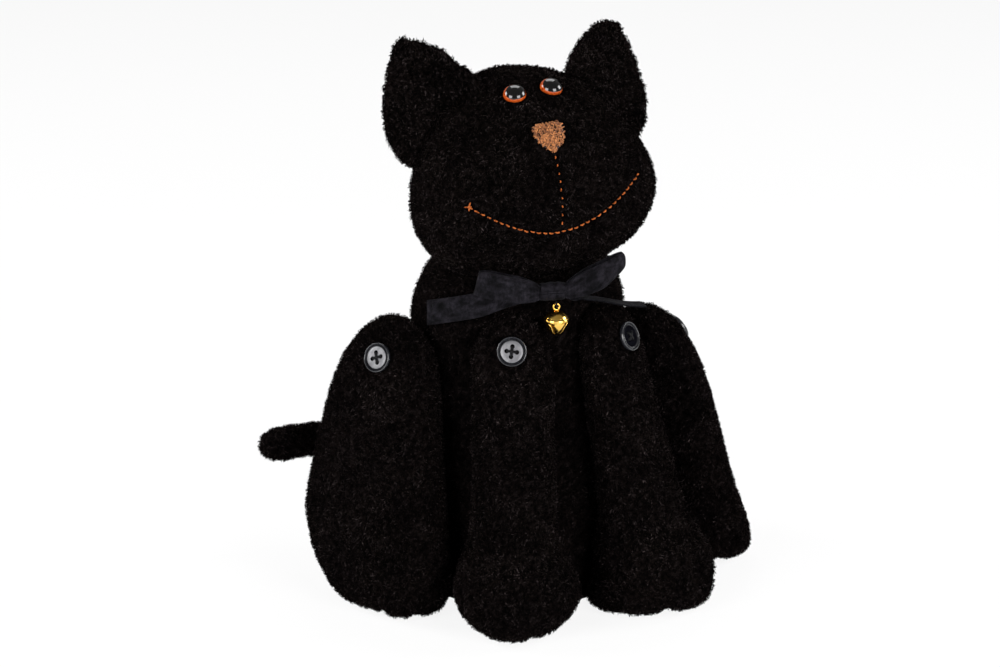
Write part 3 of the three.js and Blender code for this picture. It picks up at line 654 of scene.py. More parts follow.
button_frames = {}
for leg in LEG_TURN:
    leg_middle = sum(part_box(f"leg_{leg}"), Vector()) / 2
    middle, axis = flat_frame(f"button_{leg}", np.array((0.0, 0.0, leg_middle.z)))
    back = middle - axis * BUTTON_THICKNESS / 2 * MM
    button_frames[leg] = facing(back, axis, BUTTON_SPIN[leg])

eye_frames = {}
for side in ("right", "left"):
    middle, axis = flat_frame(f"eye_washer_{side}", np.array(HEAD_PLACE) * MM)
    top = ((coordinates(frame["nodes"][f"eye_{side}"].data) - middle) @ axis).max()
    eye_frames[side] = facing(middle + axis * (top - EYE_DOME * MM), axis)


# Plush pieces: remeshed from the solids, filled out, creased, then covered in pile

BLADE_HALF_WIDTH = 0.22


class Plush:
    def __init__(self, node, voxel, inset, swell, density, length, soften=4, loop=1.9):
        self.node, self.soften = node, soften
        self.voxel, self.inset, self.swell = voxel * MM, inset * MM, swell * MM
        self.density, self.length, self.loop = density, length * MM, loop * MM
        self.rng = np.random.default_rng(sum(ord(c) * (i + 7) for i, c in enumerate(node)))
        self.object = self.start()

    def start(self):
        bm = bmesh.new()
        bm.from_mesh(frame["nodes"][self.node].data)
        bmesh.ops.remove_doubles(bm, verts=bm.verts, dist=1e-6)
        mesh = bpy.data.meshes.new(self.node + "_plush")
        bm.to_mesh(mesh)
        bm.free()
        obj = link(self.node + "_plush", mesh)
        remesh = obj.modifiers.new("remesh", "REMESH")
        remesh.mode = "VOXEL"
        remesh.voxel_size = self.voxel
        smooth = obj.modifiers.new("smooth", "SMOOTH")
        smooth.factor, smooth.iterations = 0.5, self.soften
        apply_modifiers(obj)
        set_coordinates(obj.data, coordinates(obj.data) - vertex_normals(obj.data) * self.inset)
        return obj

    def hold(self, points):
        """Share from 0 to 1 that a point is held back by seams while the piece fills out."""
        return np.zeros(len(points))

    def prepare_cloth(self):
        self.before = coordinates(self.object.data)
        self.held = np.clip(self.hold(self.before), 0, 1)
        group = self.object.vertex_groups.new(name="held")
        for i, share in enumerate(self.held):
            group.add([i], float(share), "REPLACE")
        cloth = self.object.modifiers.new("cloth", "CLOTH")
        settings = cloth.settings
        settings.quality = 4
        settings.mass = 0.15
        settings.tension_stiffness = settings.compression_stiffness = 6
        settings.shear_stiffness = 3
        settings.bending_stiffness = 0.2
        settings.use_pressure = True
        settings.uniform_pressure_force = 4
        settings.effector_weights.gravity = 0
        settings.vertex_group_mass = "held"
        settings.pin_stiffness = 1
        cloth.collision_settings.use_collision = False
        cloth.collision_settings.use_self_collision = False
        cloth.point_cache.frame_start, cloth.point_cache.frame_end = 1, CLOTH_FRAMES

    def fill_out(self):
        """The swollen form, with no point further out than the swell allows."""
        normals = vertex_normals(self.object.data)
        graph = bpy.context.evaluated_depsgraph_get()
        done = self.object.evaluated_get(graph)
        shift = coordinates(done.data) - self.before
        reach = np.linalg.norm(shift, axis=1)
        shift *= (np.minimum(reach, self.swell) / np.maximum(reach, 1e-9))[:, None]
        moved = self.before + shift
        self.object.modifiers.clear()
        self.object.vertex_groups.clear()
        set_coordinates(self.object.data, moved)
        fine = self.object.modifiers.new("fine", "SUBSURF")
        fine.levels = fine.render_levels = 2
        apply_modifiers(self.object)

    def shape(self, points, normals):
        """Creases and seams: the new points, and the share of pile that stays."""
        return points, np.ones(len(points))

    def clear(self, points, bare, matrix, radius, slope, sink=0.3):
        """Presses the surface under a round flat piece and slopes it up around."""
        at = local(points, matrix)
        reach = np.hypot(at[:, 0], at[:, 1])
        ceiling = -sink + slope * np.maximum(reach - radius - 0.2, 0)
        near = (reach < radius + 5) & (at[:, 2] > -6) & (at[:, 2] < 9)
        press = np.where(near, np.maximum(at[:, 2] - ceiling, 0), 0)
        at[:, 2] -= press
        inside = near & (reach < radius + 0.4)
        return carried(at, matrix), np.where(inside, 0, bare)

    def finish(self):
        mesh = self.object.data
        points, normals = coordinates(mesh), vertex_normals(mesh)
        points, bare = self.shape(points, normals)
        set_coordinates(mesh, points)
        normals = vertex_normals(mesh)
        self.base = (points.copy(), corners(mesh))
        bumps = loop_bumps(points, self.loop, 11) + 0.5 * loop_bumps(points, self.loop * 0.55, 23)
        lumps = value_noise(points, 9 * MM, 5) * 0.35 + value_noise(points, 22 * MM, 8) * 0.5
        height = (bumps * 0.55 - 0.45 + lumps) * MM * np.maximum(bare, 0.15)
        # Painted shade: the base surface takes a low pile share, darkest in the valleys between loops
        pile = np.clip(bumps * 0.4, 0, 0.5)
        # Clumps set each blade's length and also its painted light: blades on loop tops painted brighter,
        # blades in the valleys painted darker as shade
        clump_and_shade = np.clip(bumps, 0, 1) * 0.75 + 0.35 + 0.25 * value_noise(points, 3.4 * MM, 77)
        points = points + normals * height[:, None]
        quads = corners(mesh)
        clump_and_shade = np.clip(clump_and_shade, 0.25, 1.2)
        blades, blade_faces, blade_painted_light = self.tufts(points, normals, quads, bare, clump_and_shade)
        self.rebuild(points, quads, pile, blades, blade_faces, blade_painted_light)
        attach(self.object, "cat")
        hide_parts(self.node)

    def tufts(self, points, normals, quads, bare, clump_and_shade):
        """Short leaning kites of two triangles, set at random over the surface."""
        a, b, c, d = (points[quads[:, k]] for k in range(4))
        area = np.linalg.norm(np.cross(c - a, d - b), axis=1) / 2
        weight = area * bare[quads].min(1)
        count = int(self.density * weight.sum() / MM / MM)
        chosen = self.rng.choice(len(quads), count, p=weight / weight.sum())
        u, v = self.rng.random((2, count, 1))
        ids = quads[chosen]

        def spread(values):
            low = values[ids[:, 0]] * (1 - u) + values[ids[:, 1]] * u
            high = values[ids[:, 3]] * (1 - u) + values[ids[:, 2]] * u
            return low * (1 - v) + high * v

        root, up, thrive_and_shade = spread(points), spread(normals), spread(clump_and_shade[:, None])
        up /= np.linalg.norm(up, axis=1)[:, None]
        flow = np.stack([value_noise(root, 5 * MM, 31 + k) for k in range(3)], 1)
        side = flow * 1.1 + self.rng.normal(0, 0.55, (count, 3)) + np.array((0, 0, -0.25))
        side -= up * (side * up).sum(1)[:, None]
        across = np.cross(up, self.rng.normal(0, 1, (count, 3)))
        across /= np.linalg.norm(across, axis=1)[:, None]
        long = self.length * (0.5 + 0.6 * self.rng.random((count, 1))) * (0.45 + 0.6 * thrive_and_shade)
        wide = BLADE_HALF_WIDTH * MM * (0.7 + 0.6 * self.rng.random((count, 1)))
        middle = root + (up * 0.95 + side * 0.25) * long * 0.5
        tip = root + (up * 0.8 + side * 0.75) * long
        verts = np.stack([root - up * 0.35 * MM, middle - across * wide, middle + across * wide, tip], 1)
        first = np.arange(count)[:, None] * 4
        faces = np.concatenate([first + np.array((0, 2, 1)), first + np.array((1, 2, 3))])
        # Painted light on each blade: the root painted dark as shade, the tip painted bright as highlight,
        # more so on loop tops
        painted_tip_light = np.clip(thrive_and_shade * (0.45 + 0.8 * self.rng.random((count, 1)) ** 2), 0, 1.15)
        share = np.array((0.1, 0.6, 0.6, 1.0)) * painted_tip_light
        return verts.reshape(-1, 3), faces, share.ravel()

    def rebuild(self, points, quads, pile, blades, blade_faces, blade_painted_light):
        mesh = bpy.data.meshes.new(self.object.name)
        total = len(points) + len(blades)
        mesh.vertices.add(total)
        mesh.vertices.foreach_set("co", np.concatenate([points, blades]).astype(np.float32).ravel())
        loops = np.concatenate([quads.ravel(), (blade_faces + len(points)).ravel()])
        starts = np.concatenate([
            np.arange(len(quads)) * 4,
            len(quads) * 4 + np.arange(len(blade_faces)) * 3,
        ])
        mesh.loops.add(len(loops))
        mesh.loops.foreach_set("vertex_index", loops.astype(np.int32))
        mesh.polygons.add(len(starts))
        mesh.polygons.foreach_set("loop_start", starts.astype(np.int32))
        mesh.polygons.foreach_set("use_smooth", np.ones(len(starts), bool))
        mesh.update(calc_edges=True)
        mesh.validate()
        # The pile attribute carries the painted shade and highlight of the base surface and the blades
        tone = mesh.attributes.new("pile", "FLOAT", "POINT")
        tone.data.foreach_set("value", np.concatenate([pile, blade_painted_light]).astype(np.float32))
        mesh.materials.append(plush)
        self.object.data = mesh


HEAD_SEAM_Y = 4

# The right cheek is a little fuller behind
CHEEK_MIDDLE = np.array((-50, 12, 7))
CHEEK_SPREAD = np.array((14, 14, 12))
CHEEK_REACH = 2.5

# The head's left side stands a little further out
LEFT_SIDE_REACH = 1.2


def mouth_height(x):
    return MOUTH_LOW_Z + (MOUTH_END_Z - MOUTH_LOW_Z) * (np.abs(x) / MOUTH_HALF_WIDTH) ** MOUTH_SHAPE


def slanted(x, z):
    """The face's own slant: higher features lie further to the left side."""
    return x + FACE_SLANT * (z - MOUTH_LOW_Z)


def mouth_line(count):
    x = np.linspace(-MOUTH_HALF_WIDTH, MOUTH_HALF_WIDTH, count)
    z = mouth_height(x)
    return np.stack([slanted(x, z), z], 1)


def lip_line(count):
    z = np.linspace(NOSE_POINT_Z - 1, MOUTH_LOW_Z, count)
    return np.stack([slanted(0, z), z], 1)


class Head(Plush):
    def hold(self, points):
        at = local(points, head_matrix)
        return 0.9 * np.exp(-(((at[:, 1] - HEAD_SEAM_Y) / 4) ** 2))

    def shape(self, points, normals):
        at = local(points, head_matrix)
        seam = np.exp(-(((at[:, 1] - HEAD_SEAM_Y) / 1.5) ** 2))
        front = at[:, 1] < 0
        mouth = np.where(front, near_line(at[:, 0], at[:, 2], mouth_line(24)), 99)
        lip = np.where(front, near_line(at[:, 0], at[:, 2], lip_line(8)), 99)
        groove = 1.1 * seam + 0.8 * np.exp(-((mouth / 1.5) ** 2)) + 0.5 * np.exp(-((lip / 1.2) ** 2))
        away = np.linalg.norm((at - CHEEK_MIDDLE) / CHEEK_SPREAD, axis=1)
        cheek = CHEEK_REACH * np.exp(-away ** 2)
        wide = LEFT_SIDE_REACH * smoothstep(at[:, 0], 5, 40)
        points = points + normals * ((cheek + wide - groove) * MM)[:, None]
        bare = np.minimum(1, 0.1 + smoothstep(np.minimum(mouth, lip + 0.3), 0.5, 1.1))
        x, z = at[:, 0] - slanted(0, NOSE_MIDDLE[1]), at[:, 2] - NOSE_MIDDLE[1]
        on_nose = front & (np.hypot(x / 8.2, z / 7.4) < 0.95)
        bare = np.where(on_nose, 0.1, bare)
        for matrix in eye_frames.values():
            points, bare = self.clear(points, bare, matrix, EYE_RADIUS, 0.9, 0.35)
        return points, bare


class Ear(Plush):
    def shape(self, points, normals):
        """Draws the ear's foot onto the head, where it is sewn on."""
        head = frame["nodes"]["head"].data
        faces = [tuple(p.vertices) for p in head.polygons]
        tree = BVHTree.FromPolygons([v.co for v in head.vertices], faces)
        for i, point in enumerate(points):
            near, _, _, away = tree.find_nearest(Vector(point), EAR_FOOT * MM)
            if near is not None:
                pull = EAR_PULL * MM * (1 - away / (EAR_FOOT * MM)) / max(away, 0.01 * MM)
                points[i] = point + (np.array(near) - point) * pull
        return points, np.ones(len(points))


class Leg(Plush):
    def __init__(self, name, creases, bulges=(), **sizes):
        self.name = name
        self.creases = creases
        self.bulges = bulges
        super().__init__(f"leg_{name}", **sizes)

    def unrolled(self, points):
        """Angle from the toes in degrees, height and reach from the leg's own axis."""
        turned = local(points, rotation_z(LEG_TURN[self.name]))
        z = turned[:, 2]
        levels = np.arange(2, z.max(), 6)
        middles = []
        for level in levels:
            ring = turned[np.abs(z - level) < 4]
            middles.append((ring[:, :2].min(0) + ring[:, :2].max(0)) / 2)
        middles = np.array(middles)
        x = turned[:, 0] - np.interp(z, levels, middles[:, 0])
        y = turned[:, 1] - np.interp(z, levels, middles[:, 1])
        return np.degrees(np.arctan2(x, -y)), z, np.hypot(x, y)

    def hold(self, points):
        angle, _, reach = self.unrolled(points)
        side = np.abs(np.abs(angle) - 93) * np.radians(1) * reach
        return 0.8 * np.exp(-((side / 4) ** 2))

    def shape(self, points, normals):
        angle, z, _ = self.unrolled(points)
        scale = math.radians(1) * LEG_RADIUS
        groove = np.zeros(len(points))
        for line, depth, width in self.creases:
            away = near_line(angle * scale, z, [(a * scale, h) for a, h in line])
            groove += depth * np.exp(-((away / width) ** 2))
        points = points - normals * (groove * MM)[:, None]
        turn = np.radians(angle + LEG_TURN[self.name])
        outward = np.stack([np.sin(turn), -np.cos(turn), np.zeros(len(turn))], 1)
        for (middle, spread), (low, tall), reach_out in self.bulges:
            share = np.exp(-(((angle - middle) / spread) ** 2) - ((z - low) / tall) ** 2)
            points = points + outward * (reach_out * MM * share)[:, None]
        bare = np.ones(len(points))
        points, bare = self.clear(points, bare, button_frames[self.name], BUTTON_RADIUS, 0.8)
        floor = 0.4 * MM
        points[:, 2] = np.maximum(points[:, 2], floor)
        bare = np.where(points[:, 2] < 1.2 * MM, 0.1, bare)
        return points, bare


class Body(Plush):
    def frozen(self, points):
        at = points / MM
        in_pocket = np.hypot(at[:, 0] / POCKET[0], at[:, 1] / POCKET[1]) < 1
        return in_pocket & (at[:, 2] < POCKET[2]) | (at[:, 2] < SOLE_HEIGHT)

    def hold(self, points):
        return np.where(self.frozen(points), 1, 0)

    def shape(self, points, normals):
        bare = np.where(self.frozen(points), 0, 1)
        x, z = points[:, 0] / MM, points[:, 2] / MM
        right, left = (
            reach * smoothstep(z, low, high) for reach, low, high in (SHOULDER_RIGHT, SHOULDER_LEFT)
        )
        shift = np.where(x < 0, right, left)
        points = points - np.outer(shift * MM * smoothstep(np.abs(x), *SHOULDER_SPAN), (1, 0, 0))
        return points, bare


CLOTH_FRAMES = 20

SOFT = dict(voxel=4.4, inset=0.6, swell=1.6, density=1.8, length=1.45)
THIN = dict(voxel=2.4, inset=-0.5, swell=0.5, density=2.9, length=1.6, soften=2)
pieces = {
    "head": Head("head", **{**SOFT, "inset": 0.4}),
    "ear_right": Ear("ear_right", **THIN),
    "ear_left": Ear("ear_left", **THIN),
    "tail": Plush("tail", voxel=3.0, inset=0.4, swell=1.2, density=2.4, length=1.5),
    "body": Body("body", voxel=7.0, inset=0.2, swell=1.2, density=0.62, length=1.5),
}
for leg in LEG_TURN:
    creases = FRONT_CREASES if leg.startswith("front") else HIND_CREASES
    pieces[f"leg_{leg}"] = Leg(leg, creases, LEG_BULGES.get(leg, []), **SOFT)

for piece in pieces.values():
    piece.prepare_cloth()
for number in range(1, CLOTH_FRAMES + 1):
    bpy.context.scene.frame_set(number)
for piece in pieces.values():
    piece.fill_out()
bpy.context.scene.frame_set(1)
for piece in pieces.values():
    piece.finish()


# Face: nose, mouth and lip stitches on the head's front, and the eyes


head_points, head_faces = pieces["head"].base
head_tree = BVHTree.FromPolygons([Vector(p) for p in head_points], head_faces.tolist())
toward_face = head_matrix.to_3x3() @ Vector((0, 1, 0))


def on_face(x, z, lift):
    """The point of the head's front at (x, z) of its frame, lifted off by some millimetres."""
    start = head_matrix @ (Vector((x, -90, z)) * MM)
    place, normal, _, _ = head_tree.ray_cast(start, toward_face)
    return np.array(place + normal * lift * MM)


def stitch(a, b, radius, lift, arch):
    """One stitch from a to b over the face, dipping into the cloth at both ends."""
    path = []
    for t in np.linspace(0, 1, 6):
        rise = lift + arch * math.sin(math.pi * t) - arch / 2
        path.append(on_face(a[0] + (b[0] - a[0]) * t, a[1] + (b[1] - a[1]) * t, rise))
    return tube(path, radius * MM, 6, 1.12)


def along(line, step, length, rng, jitter):
    """Stitches of a length, a step apart, along a line of points."""
    gaps = np.hypot(*np.diff(line, axis=0).T)
    travelled = np.concatenate([[0], np.cumsum(gaps)])
    made = []
    for start in np.arange(0, travelled[-1] - length * 0.6, step):
        ends = [start, min(start + length, travelled[-1])]
        points = np.stack([np.interp(ends, travelled, line[:, k]) for k in range(2)], 1)
        made.append(points + rng.normal(0, jitter, (2, 2)))
    return made


def add_embroidery():
    rng = np.random.default_rng(41)
    mouth = [stitch(a, b, 0.32, 0.5, 0.6) for a, b in along(mouth_line(60), 2.8, 1.75, rng, 0.12)]
    end = mouth_line(60)[0]
    mouth.append(stitch(end + (-0.2, -1.6), end + (0.9, 1.9), 0.3, 0.7, 0.4))
    mouth.append(stitch(end + (-1.7, 0.4), end + (1.2, 0.1), 0.3, 0.7, 0.4))
    lip = [stitch(a, b, 0.25, 0.35, 0.4) for a, b in along(lip_line(40), 3.4, 0.95, rng, 0.1)]
    for name, made in (("mouth_thread", mouth), ("lip_thread", lip)):
        obj = object_from(name + "_stitches", *joined(made), copper)
        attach(obj, "cat")
        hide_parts(name)


def add_nose():
    rng = np.random.default_rng(67)
    count = len(NOSE_OUTLINE)
    outline = []
    for i in range(count):
        p0, p1, p2, p3 = (np.array(NOSE_OUTLINE[(i + k) % count], float) for k in (-1, 0, 1, 2))
        for t in np.linspace(0, 1, 5)[:-1]:
            a, b, c = 2 * p1, p2 - p0, 2 * p0 - 5 * p1 + 4 * p2 - p3
            outline.append((a + b * t + c * t * t + (3 * p1 - p0 - 3 * p2 + p3) * t ** 3) / 2)
    outline = np.array(outline)
    middle = np.array(NOSE_MIDDLE, float)

    def placed(p, lift):
        return on_face(slanted(p[0], p[1]), p[1], lift)

    rings = 7
    verts, faces = [placed(middle, 0.9)], []
    for ring in range(1, rings + 1):
        share = ring / rings
        rise = 0.9 * math.sqrt(1 - share ** 4) - 0.2
        for p in outline:
            verts.append(placed(middle + (p - middle) * share * 0.97, rise))
    width = len(outline)
    for k in range(width):
        n = (k + 1) % width
        faces.append((0, 1 + k, 1 + n))
        for ring in range(rings - 1):
            a, b = 1 + ring * width, 1 + (ring + 1) * width
            faces.append((a + k, b + k, b + n, a + n))
    parts, tones = [(np.array(verts), faces)], [np.zeros(len(verts))]
    for _ in range(360):
        k = rng.integers(width)
        share = math.sqrt(rng.random())
        place = middle + (outline[k] - middle) * share * 0.95
        angle = rng.normal(math.radians(90), 0.9)
        half = np.array((math.cos(angle), math.sin(angle))) * rng.uniform(0.45, 0.95)
        top = 0.9 * math.sqrt(max(1 - share ** 4, 0)) + rng.uniform(0.0, 0.4)
        path = []
        for t in np.linspace(-1, 1, 5):
            sway = np.array((-half[1], half[0])) * 0.35 * (1 - t * t) * (1 if k % 2 else -1)
            path.append(placed(place + half * t + sway, top + 0.35 - 0.55 * t * t))
        parts.append(tube(path, rng.uniform(0.2, 0.3) * MM, 5))
        tones.append(np.full(len(parts[-1][0]), rng.uniform(0.3, 1)))
    obj = object_from("nose_stitches", *joined(parts), satin)
    tone = obj.data.attributes.new("tone", "FLOAT", "POINT")
    tone.data.foreach_set("value", np.concatenate(tones).astype(np.float32))
    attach(obj, "cat")
    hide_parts("nose")


def eye_dome(blank, matrix):
    """The dome's points, with the pupil's edge drawn towards the side that faces the room."""
    toward = np.array(matrix.inverted().to_3x3() @ Vector((0, -1, 0)))[:2]
    toward = toward / np.linalg.norm(toward)
    across = np.array((-toward[1], toward[0]))
    reach = np.hypot(blank[:, 0], blank[:, 1])
    unit = blank[:, :2] / np.maximum(reach, 1e-9)[:, None]
    share = reach / EYE_RADIUS
    inner = np.minimum(share / PUPIL_SHARE, 1)[:, None]
    along_it = (unit @ toward)[:, None] * toward * PUPIL_REACH
    across_it = (unit @ across)[:, None] * across * PUPIL_WIDTH
    edge = toward * PUPIL_SHIFT + inner * (along_it + across_it)
    outer = np.clip((share - PUPIL_SHARE) / (1 - PUPIL_SHARE), 0, 1)[:, None]
    flat = edge * (1 - outer) + unit * EYE_RADIUS * outer
    height = EYE_DOME * np.sqrt(np.clip(1 - (flat ** 2).sum(1) / EYE_RADIUS ** 2, 0, 1))
    dome = blank[:, 2] > -0.5
    return np.where(dome[:, None], np.column_stack([flat, height]), blank)


def add_eyes():
    shares = [PUPIL_SHARE * k / 12 for k in range(13)] + [0.93, 0.96, 0.985, 1]
    profile = [(EYE_RADIUS * share, 0) for share in shares]
    profile += [(EYE_RADIUS, -0.7), (1.6, -0.8), (1.6, -8), (0, -8)]
    blank, faces = lathe(profile, 48)
    ring = np.hypot(blank[:, 0], blank[:, 1]) / EYE_RADIUS
    for side, matrix in eye_frames.items():
        points = carried(eye_dome(blank, matrix), matrix)
        obj = object_from(f"eye_{side}_dome", points, faces, eye_materials)
        for polygon in obj.data.polygons:
            ids = list(polygon.vertices)
            amber = ring[ids].mean() > PUPIL_SHARE or blank[ids, 2].mean() < -0.1
            polygon.material_index = 1 if amber else 0
        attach(obj, "cat")
        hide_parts(f"eye_{side}")


# Buttons with a round rim, a groove and four holes, and their crossed threads


def button_mesh():
    profile = [
        (0, 0), (5.3, 0), (5.9, 0.15), (6.25, 0.6), (6.35, 1.3), (6.32, 1.85), (6.2, 2.1), (6.02, 2.2),
        (5.88, 2.1), (5.78, 1.7), (5.6, 1.05), (5.3, 0.85), (5.0, 1.05), (4.86, 1.6), (4.7, 1.78),
        (3.2, 1.78), (1.6, 1.74), (0, 1.74),
    ]
    points, faces = lathe(profile, 72)
    obj = object_from("button_blank", points * MM, faces, [resin, painted_reflection_face])
    for polygon in obj.data.polygons:
        at = points[list(polygon.vertices)].mean(0)
        # Inside this radius the face takes the grey colour of painted reflection
        polygon.material_index = int(at[2] > 1.6 and math.hypot(at[0], at[1]) < REFLECTION_FACE_RADIUS)
    for k in range(4):
        angle = math.radians(45 + 90 * k)
        hole, hole_faces = lathe([(0, -1), (0.95, -1), (0.95, 3), (0, 3)], 24)
        shift = np.array((2.2 * math.cos(angle), 2.2 * math.sin(angle), 0))
        drill = object_from(f"drill_{k}", (hole + shift) * MM, hole_faces, resin)
        cut = obj.modifiers.new("hole", "BOOLEAN")
        cut.operation, cut.object, cut.solver = "DIFFERENCE", drill, "EXACT"
    apply_modifiers(obj)
    for k in range(4):
        bpy.data.objects.remove(bpy.data.objects[f"drill_{k}"])
    mesh = obj.data
    bpy.data.objects.remove(obj)
    mesh.shade_smooth()
    return mesh


def add_buttons():
    blank = button_mesh()
    for leg, matrix in button_frames.items():
        mesh = blank.copy()
        mesh.transform(matrix)
        # Painted shade: this button's face is drawn near-black
        if leg in SHADED_FACE_BUTTONS:
            mesh.materials[1] = painted_shade_face
        obj = link(f"button_{leg}_resin", mesh)
        edges = obj.modifiers.new("edges", "BEVEL")
        edges.width, edges.segments, edges.limit_method = 0.12 * MM, 2, "ANGLE"
        edges.angle_limit = math.radians(50)
        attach(obj, "cat")
        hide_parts(f"button_{leg}")
        rng = np.random.default_rng(len(leg))
        strands = []
        for turn in (45, 135):
            for shift in (-0.34, 0, 0.34):
                angle = math.radians(turn)
                way = np.array((math.cos(angle), math.sin(angle), 0))
                off = np.array((-math.sin(angle), math.cos(angle), 0)) * (shift + rng.normal(0, 0.04))
                lift = 0.22 if turn == 135 else 0
                stops = [
                    (-2.3, 0.1), (-2.15, 1.3), (-1.7, 2.05), (0, 2.2 + lift),
                    (1.7, 2.05), (2.15, 1.3), (2.3, 0.1),
                ]
                route = np.array([way * s + off + np.array((0, 0, z)) for s, z in stops])
                t = np.linspace(0, 1, len(stops))
                fine = np.linspace(0, 1, 19)
                route = np.stack([np.interp(fine, t, route[:, k]) for k in range(3)], 1)
                strands.append(tube(carried(route, matrix), 0.27 * MM, 6))
        obj = object_from(f"button_thread_{leg}_strands", *joined(strands), black_thread)
        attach(obj, "cat")
        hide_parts(f"button_thread_{leg}")


# Ribbon pieces: each one a band with coordinates along and across the cloth


def side_value(x, table):
    return np.where(x > 0, table["left"], table["right"])


def opening(x):
    share = smoothstep(np.abs(x), KNOT_EXIT, LOOP_ROUND_START)
    return WAIST_HALF_DEPTH + (LOOP_HALF_DEPTH - WAIST_HALF_DEPTH) * share


def pinch(x, reach=WAIST_REACH):
    low = WAIST_HEIGHT / RIBBON_WIDTH
    return low + (1 - low) * np.sqrt(np.clip((np.abs(x) - KNOT_EXIT) / (reach - KNOT_EXIT), 0, 1))


def band(name, rows, closed, length, material, node):
    """A ribbon from an array of rows of points in the bow's frame, each row running across it."""
    rows = np.asarray(rows)
    count, across = rows.shape[:2]
    points = carried(rows.reshape(-1, 3), bow_matrix)
    faces = []
    for i in range(count if closed else count - 1):
        n = (i + 1) % count
        for k in range(across - 1):
            faces.append((i * across + k, n * across + k, n * across + k + 1, i * across + k + 1))
    obj = object_from(name, points, faces, material)
    u = np.repeat(np.linspace(0, length, count, endpoint=not closed), across)
    v = np.tile(np.linspace(0, RIBBON_WIDTH, across), count)
    place = obj.data.attributes.new("cloth", "FLOAT_VECTOR", "POINT")
    place.data.foreach_set("vector", (np.stack([u, v, 0 * u], 1) * MM).astype(np.float32).ravel())
    thick = obj.modifiers.new("thick", "SOLIDIFY")
    thick.thickness, thick.offset = RIBBON_THICKNESS * MM, 0
    thick.use_even_offset = True
    apply_modifiers(obj)
    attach(obj, "cat")
    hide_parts(node)


def hem(v):
    """Raised hems along both edges of the tape; v runs from -1 to 1."""
    return 0.16 * smoothstep(np.abs(v), 0.74, 0.8)


def add_loops():
    across = 25
    v = np.linspace(-1, 1, across)
    rows = []
    slant = np.where(v > 0, 0.05 * v ** 4, 0.15 * v * v)
    for turn in np.linspace(0, 2 * math.pi, 160, endpoint=False):
        x = LOOP_REACH * math.cos(turn)
        past = max(abs(x) - LOOP_ROUND_START, 0) / (LOOP_REACH - LOOP_ROUND_START)
        face = math.sin(turn)
        half = opening(x) * math.sqrt(max(1 - past * past, 0)) * np.sign(face)
        away = max(abs(x) - KNOT_EXIT, 0)
        squeeze = pinch(x)
        gathers = 0.7 * (1 - squeeze) * np.cos(v * 7.5 + 0.6 * np.sign(x)) * smoothstep(away, 0.2, 2.5)
        folds = 0.75 * np.sin(v * 2.2 + x * 0.12) * smoothstep(away, 4, 14) * (1 - past)
        middle = half + side_value(x, LOOP_CURVE) * away * away
        y = middle + gathers + folds * np.sign(face) - hem(v) * 0.4 * np.sign(-face)
        z = v * RIBBON_WIDTH / 2 * squeeze * (1 - 0.1 * past ** 4) + side_value(x, LOOP_RISE) * away
        z = z + 0.35 * smoothstep(away, 8, 25) * np.sin(x * 0.2)
        end = smoothstep(away, 10, 26)
        along_cloth = x * (1 - (slant if x > 0 else 0.04 * v) * end)
        rows.append(np.stack([along_cloth, y, z], 1))
    band("bow_loops_ribbon", rows, True, LOOP_LENGTH, ribbon, "bow_loops")


def add_streamers():
    across = 25
    v = np.linspace(-1, 1, across)
    length = STREAMER_REACH["left"] + STREAMER_REACH["right"]
    rows = []
    for x in np.linspace(-STREAMER_REACH["right"], STREAMER_REACH["left"], 130):
        away = max(abs(x) - KNOT_EXIT, 0)
        behind = float(opening(x)) + 0.4 + 0.7 + 0.3 * min(away, 1)
        twist = STREAMER_TWIST * smoothstep(x, KNOT_EXIT, STREAMER_TWIST_END)
        height = v * RIBBON_WIDTH / 2 * pinch(x, STREAMER_WAIST_REACH)
        forward = STREAMER_FORWARD * smoothstep(x, STREAMER_TWIST_END, STREAMER_REACH["left"])
        sag = side_value(x, STREAMER_SAG) * smoothstep(away, 0, 8)
        lift = -side_value(x, STREAMER_DROP) * away * (smoothstep(away, -6, 26) if x < 0 else 1) - sag
        wave = 0.45 * math.sin(x * 0.13) * smoothstep(away, 8, 24)
        gathers = 0.3 * (1 - pinch(x)) * np.cos(v * 8) * smoothstep(away, 0.2, 2.5)
        y = height * np.sin(twist) + behind - forward + STREAMER_CURVE * away * away + gathers
        y = y + wave * np.cos(twist) - hem(v) * 0.4
        z = height * np.cos(twist) + lift + wave * np.sin(twist)
        rows.append(np.stack([np.full(across, x), y, z], 1))
    band("bow_streamers_ribbon", rows, False, length + 2, ribbon, "bow_streamers")
    stitches = []
    for end, inward in ((0, 1), (-1, -1)):
        inner = np.array(rows[end + inward * 3])
        for v0 in np.linspace(0.06, 0.94, 9):
            spot = inner[int(v0 * (across - 1))]
            up = (inner[-1] - inner[0]) / np.linalg.norm(inner[-1] - inner[0])
            stitch_path = [spot + up * t + np.array((0, -0.36, 0)) for t in (-0.42, -0.15, 0.15, 0.42)]
            stitches.append(tube(carried(stitch_path, bow_matrix), 0.13 * MM, 5))
    seam = object_from("bow_end_stitches", *joined(stitches), black_thread)
    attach(seam, "cat")


def add_knot():
    across = 21
    v = np.linspace(-1, 1, across)
    rows = []
    front, back, half = -1.5, 2.9, 2.9
    for turn in np.linspace(0, 2 * math.pi, 72, endpoint=False):
        power = 0.62
        cosine, sine = math.cos(turn), math.sin(turn)
        z = half * np.sign(cosine) * abs(cosine) ** power
        depth = (back - front) / 2
        y = (back + front) / 2 + depth * np.sign(sine) * abs(sine) ** power
        swell = 1.12 + 0.1 * (1 - v * v) + 0.035 * np.cos(v * 9 + z * 0.5)
        lean = 0.25 * np.sin(z * 0.6)
        x = v * 5.5 * (1 - 0.05 * abs(cosine)) + lean
        rows.append(np.stack([x, y * swell + 0.12 * np.cos(v * 5), z * swell], 1))
    band("bow_knot_ribbon", rows, True, KNOT_LENGTH, ribbon, "bow_knot")


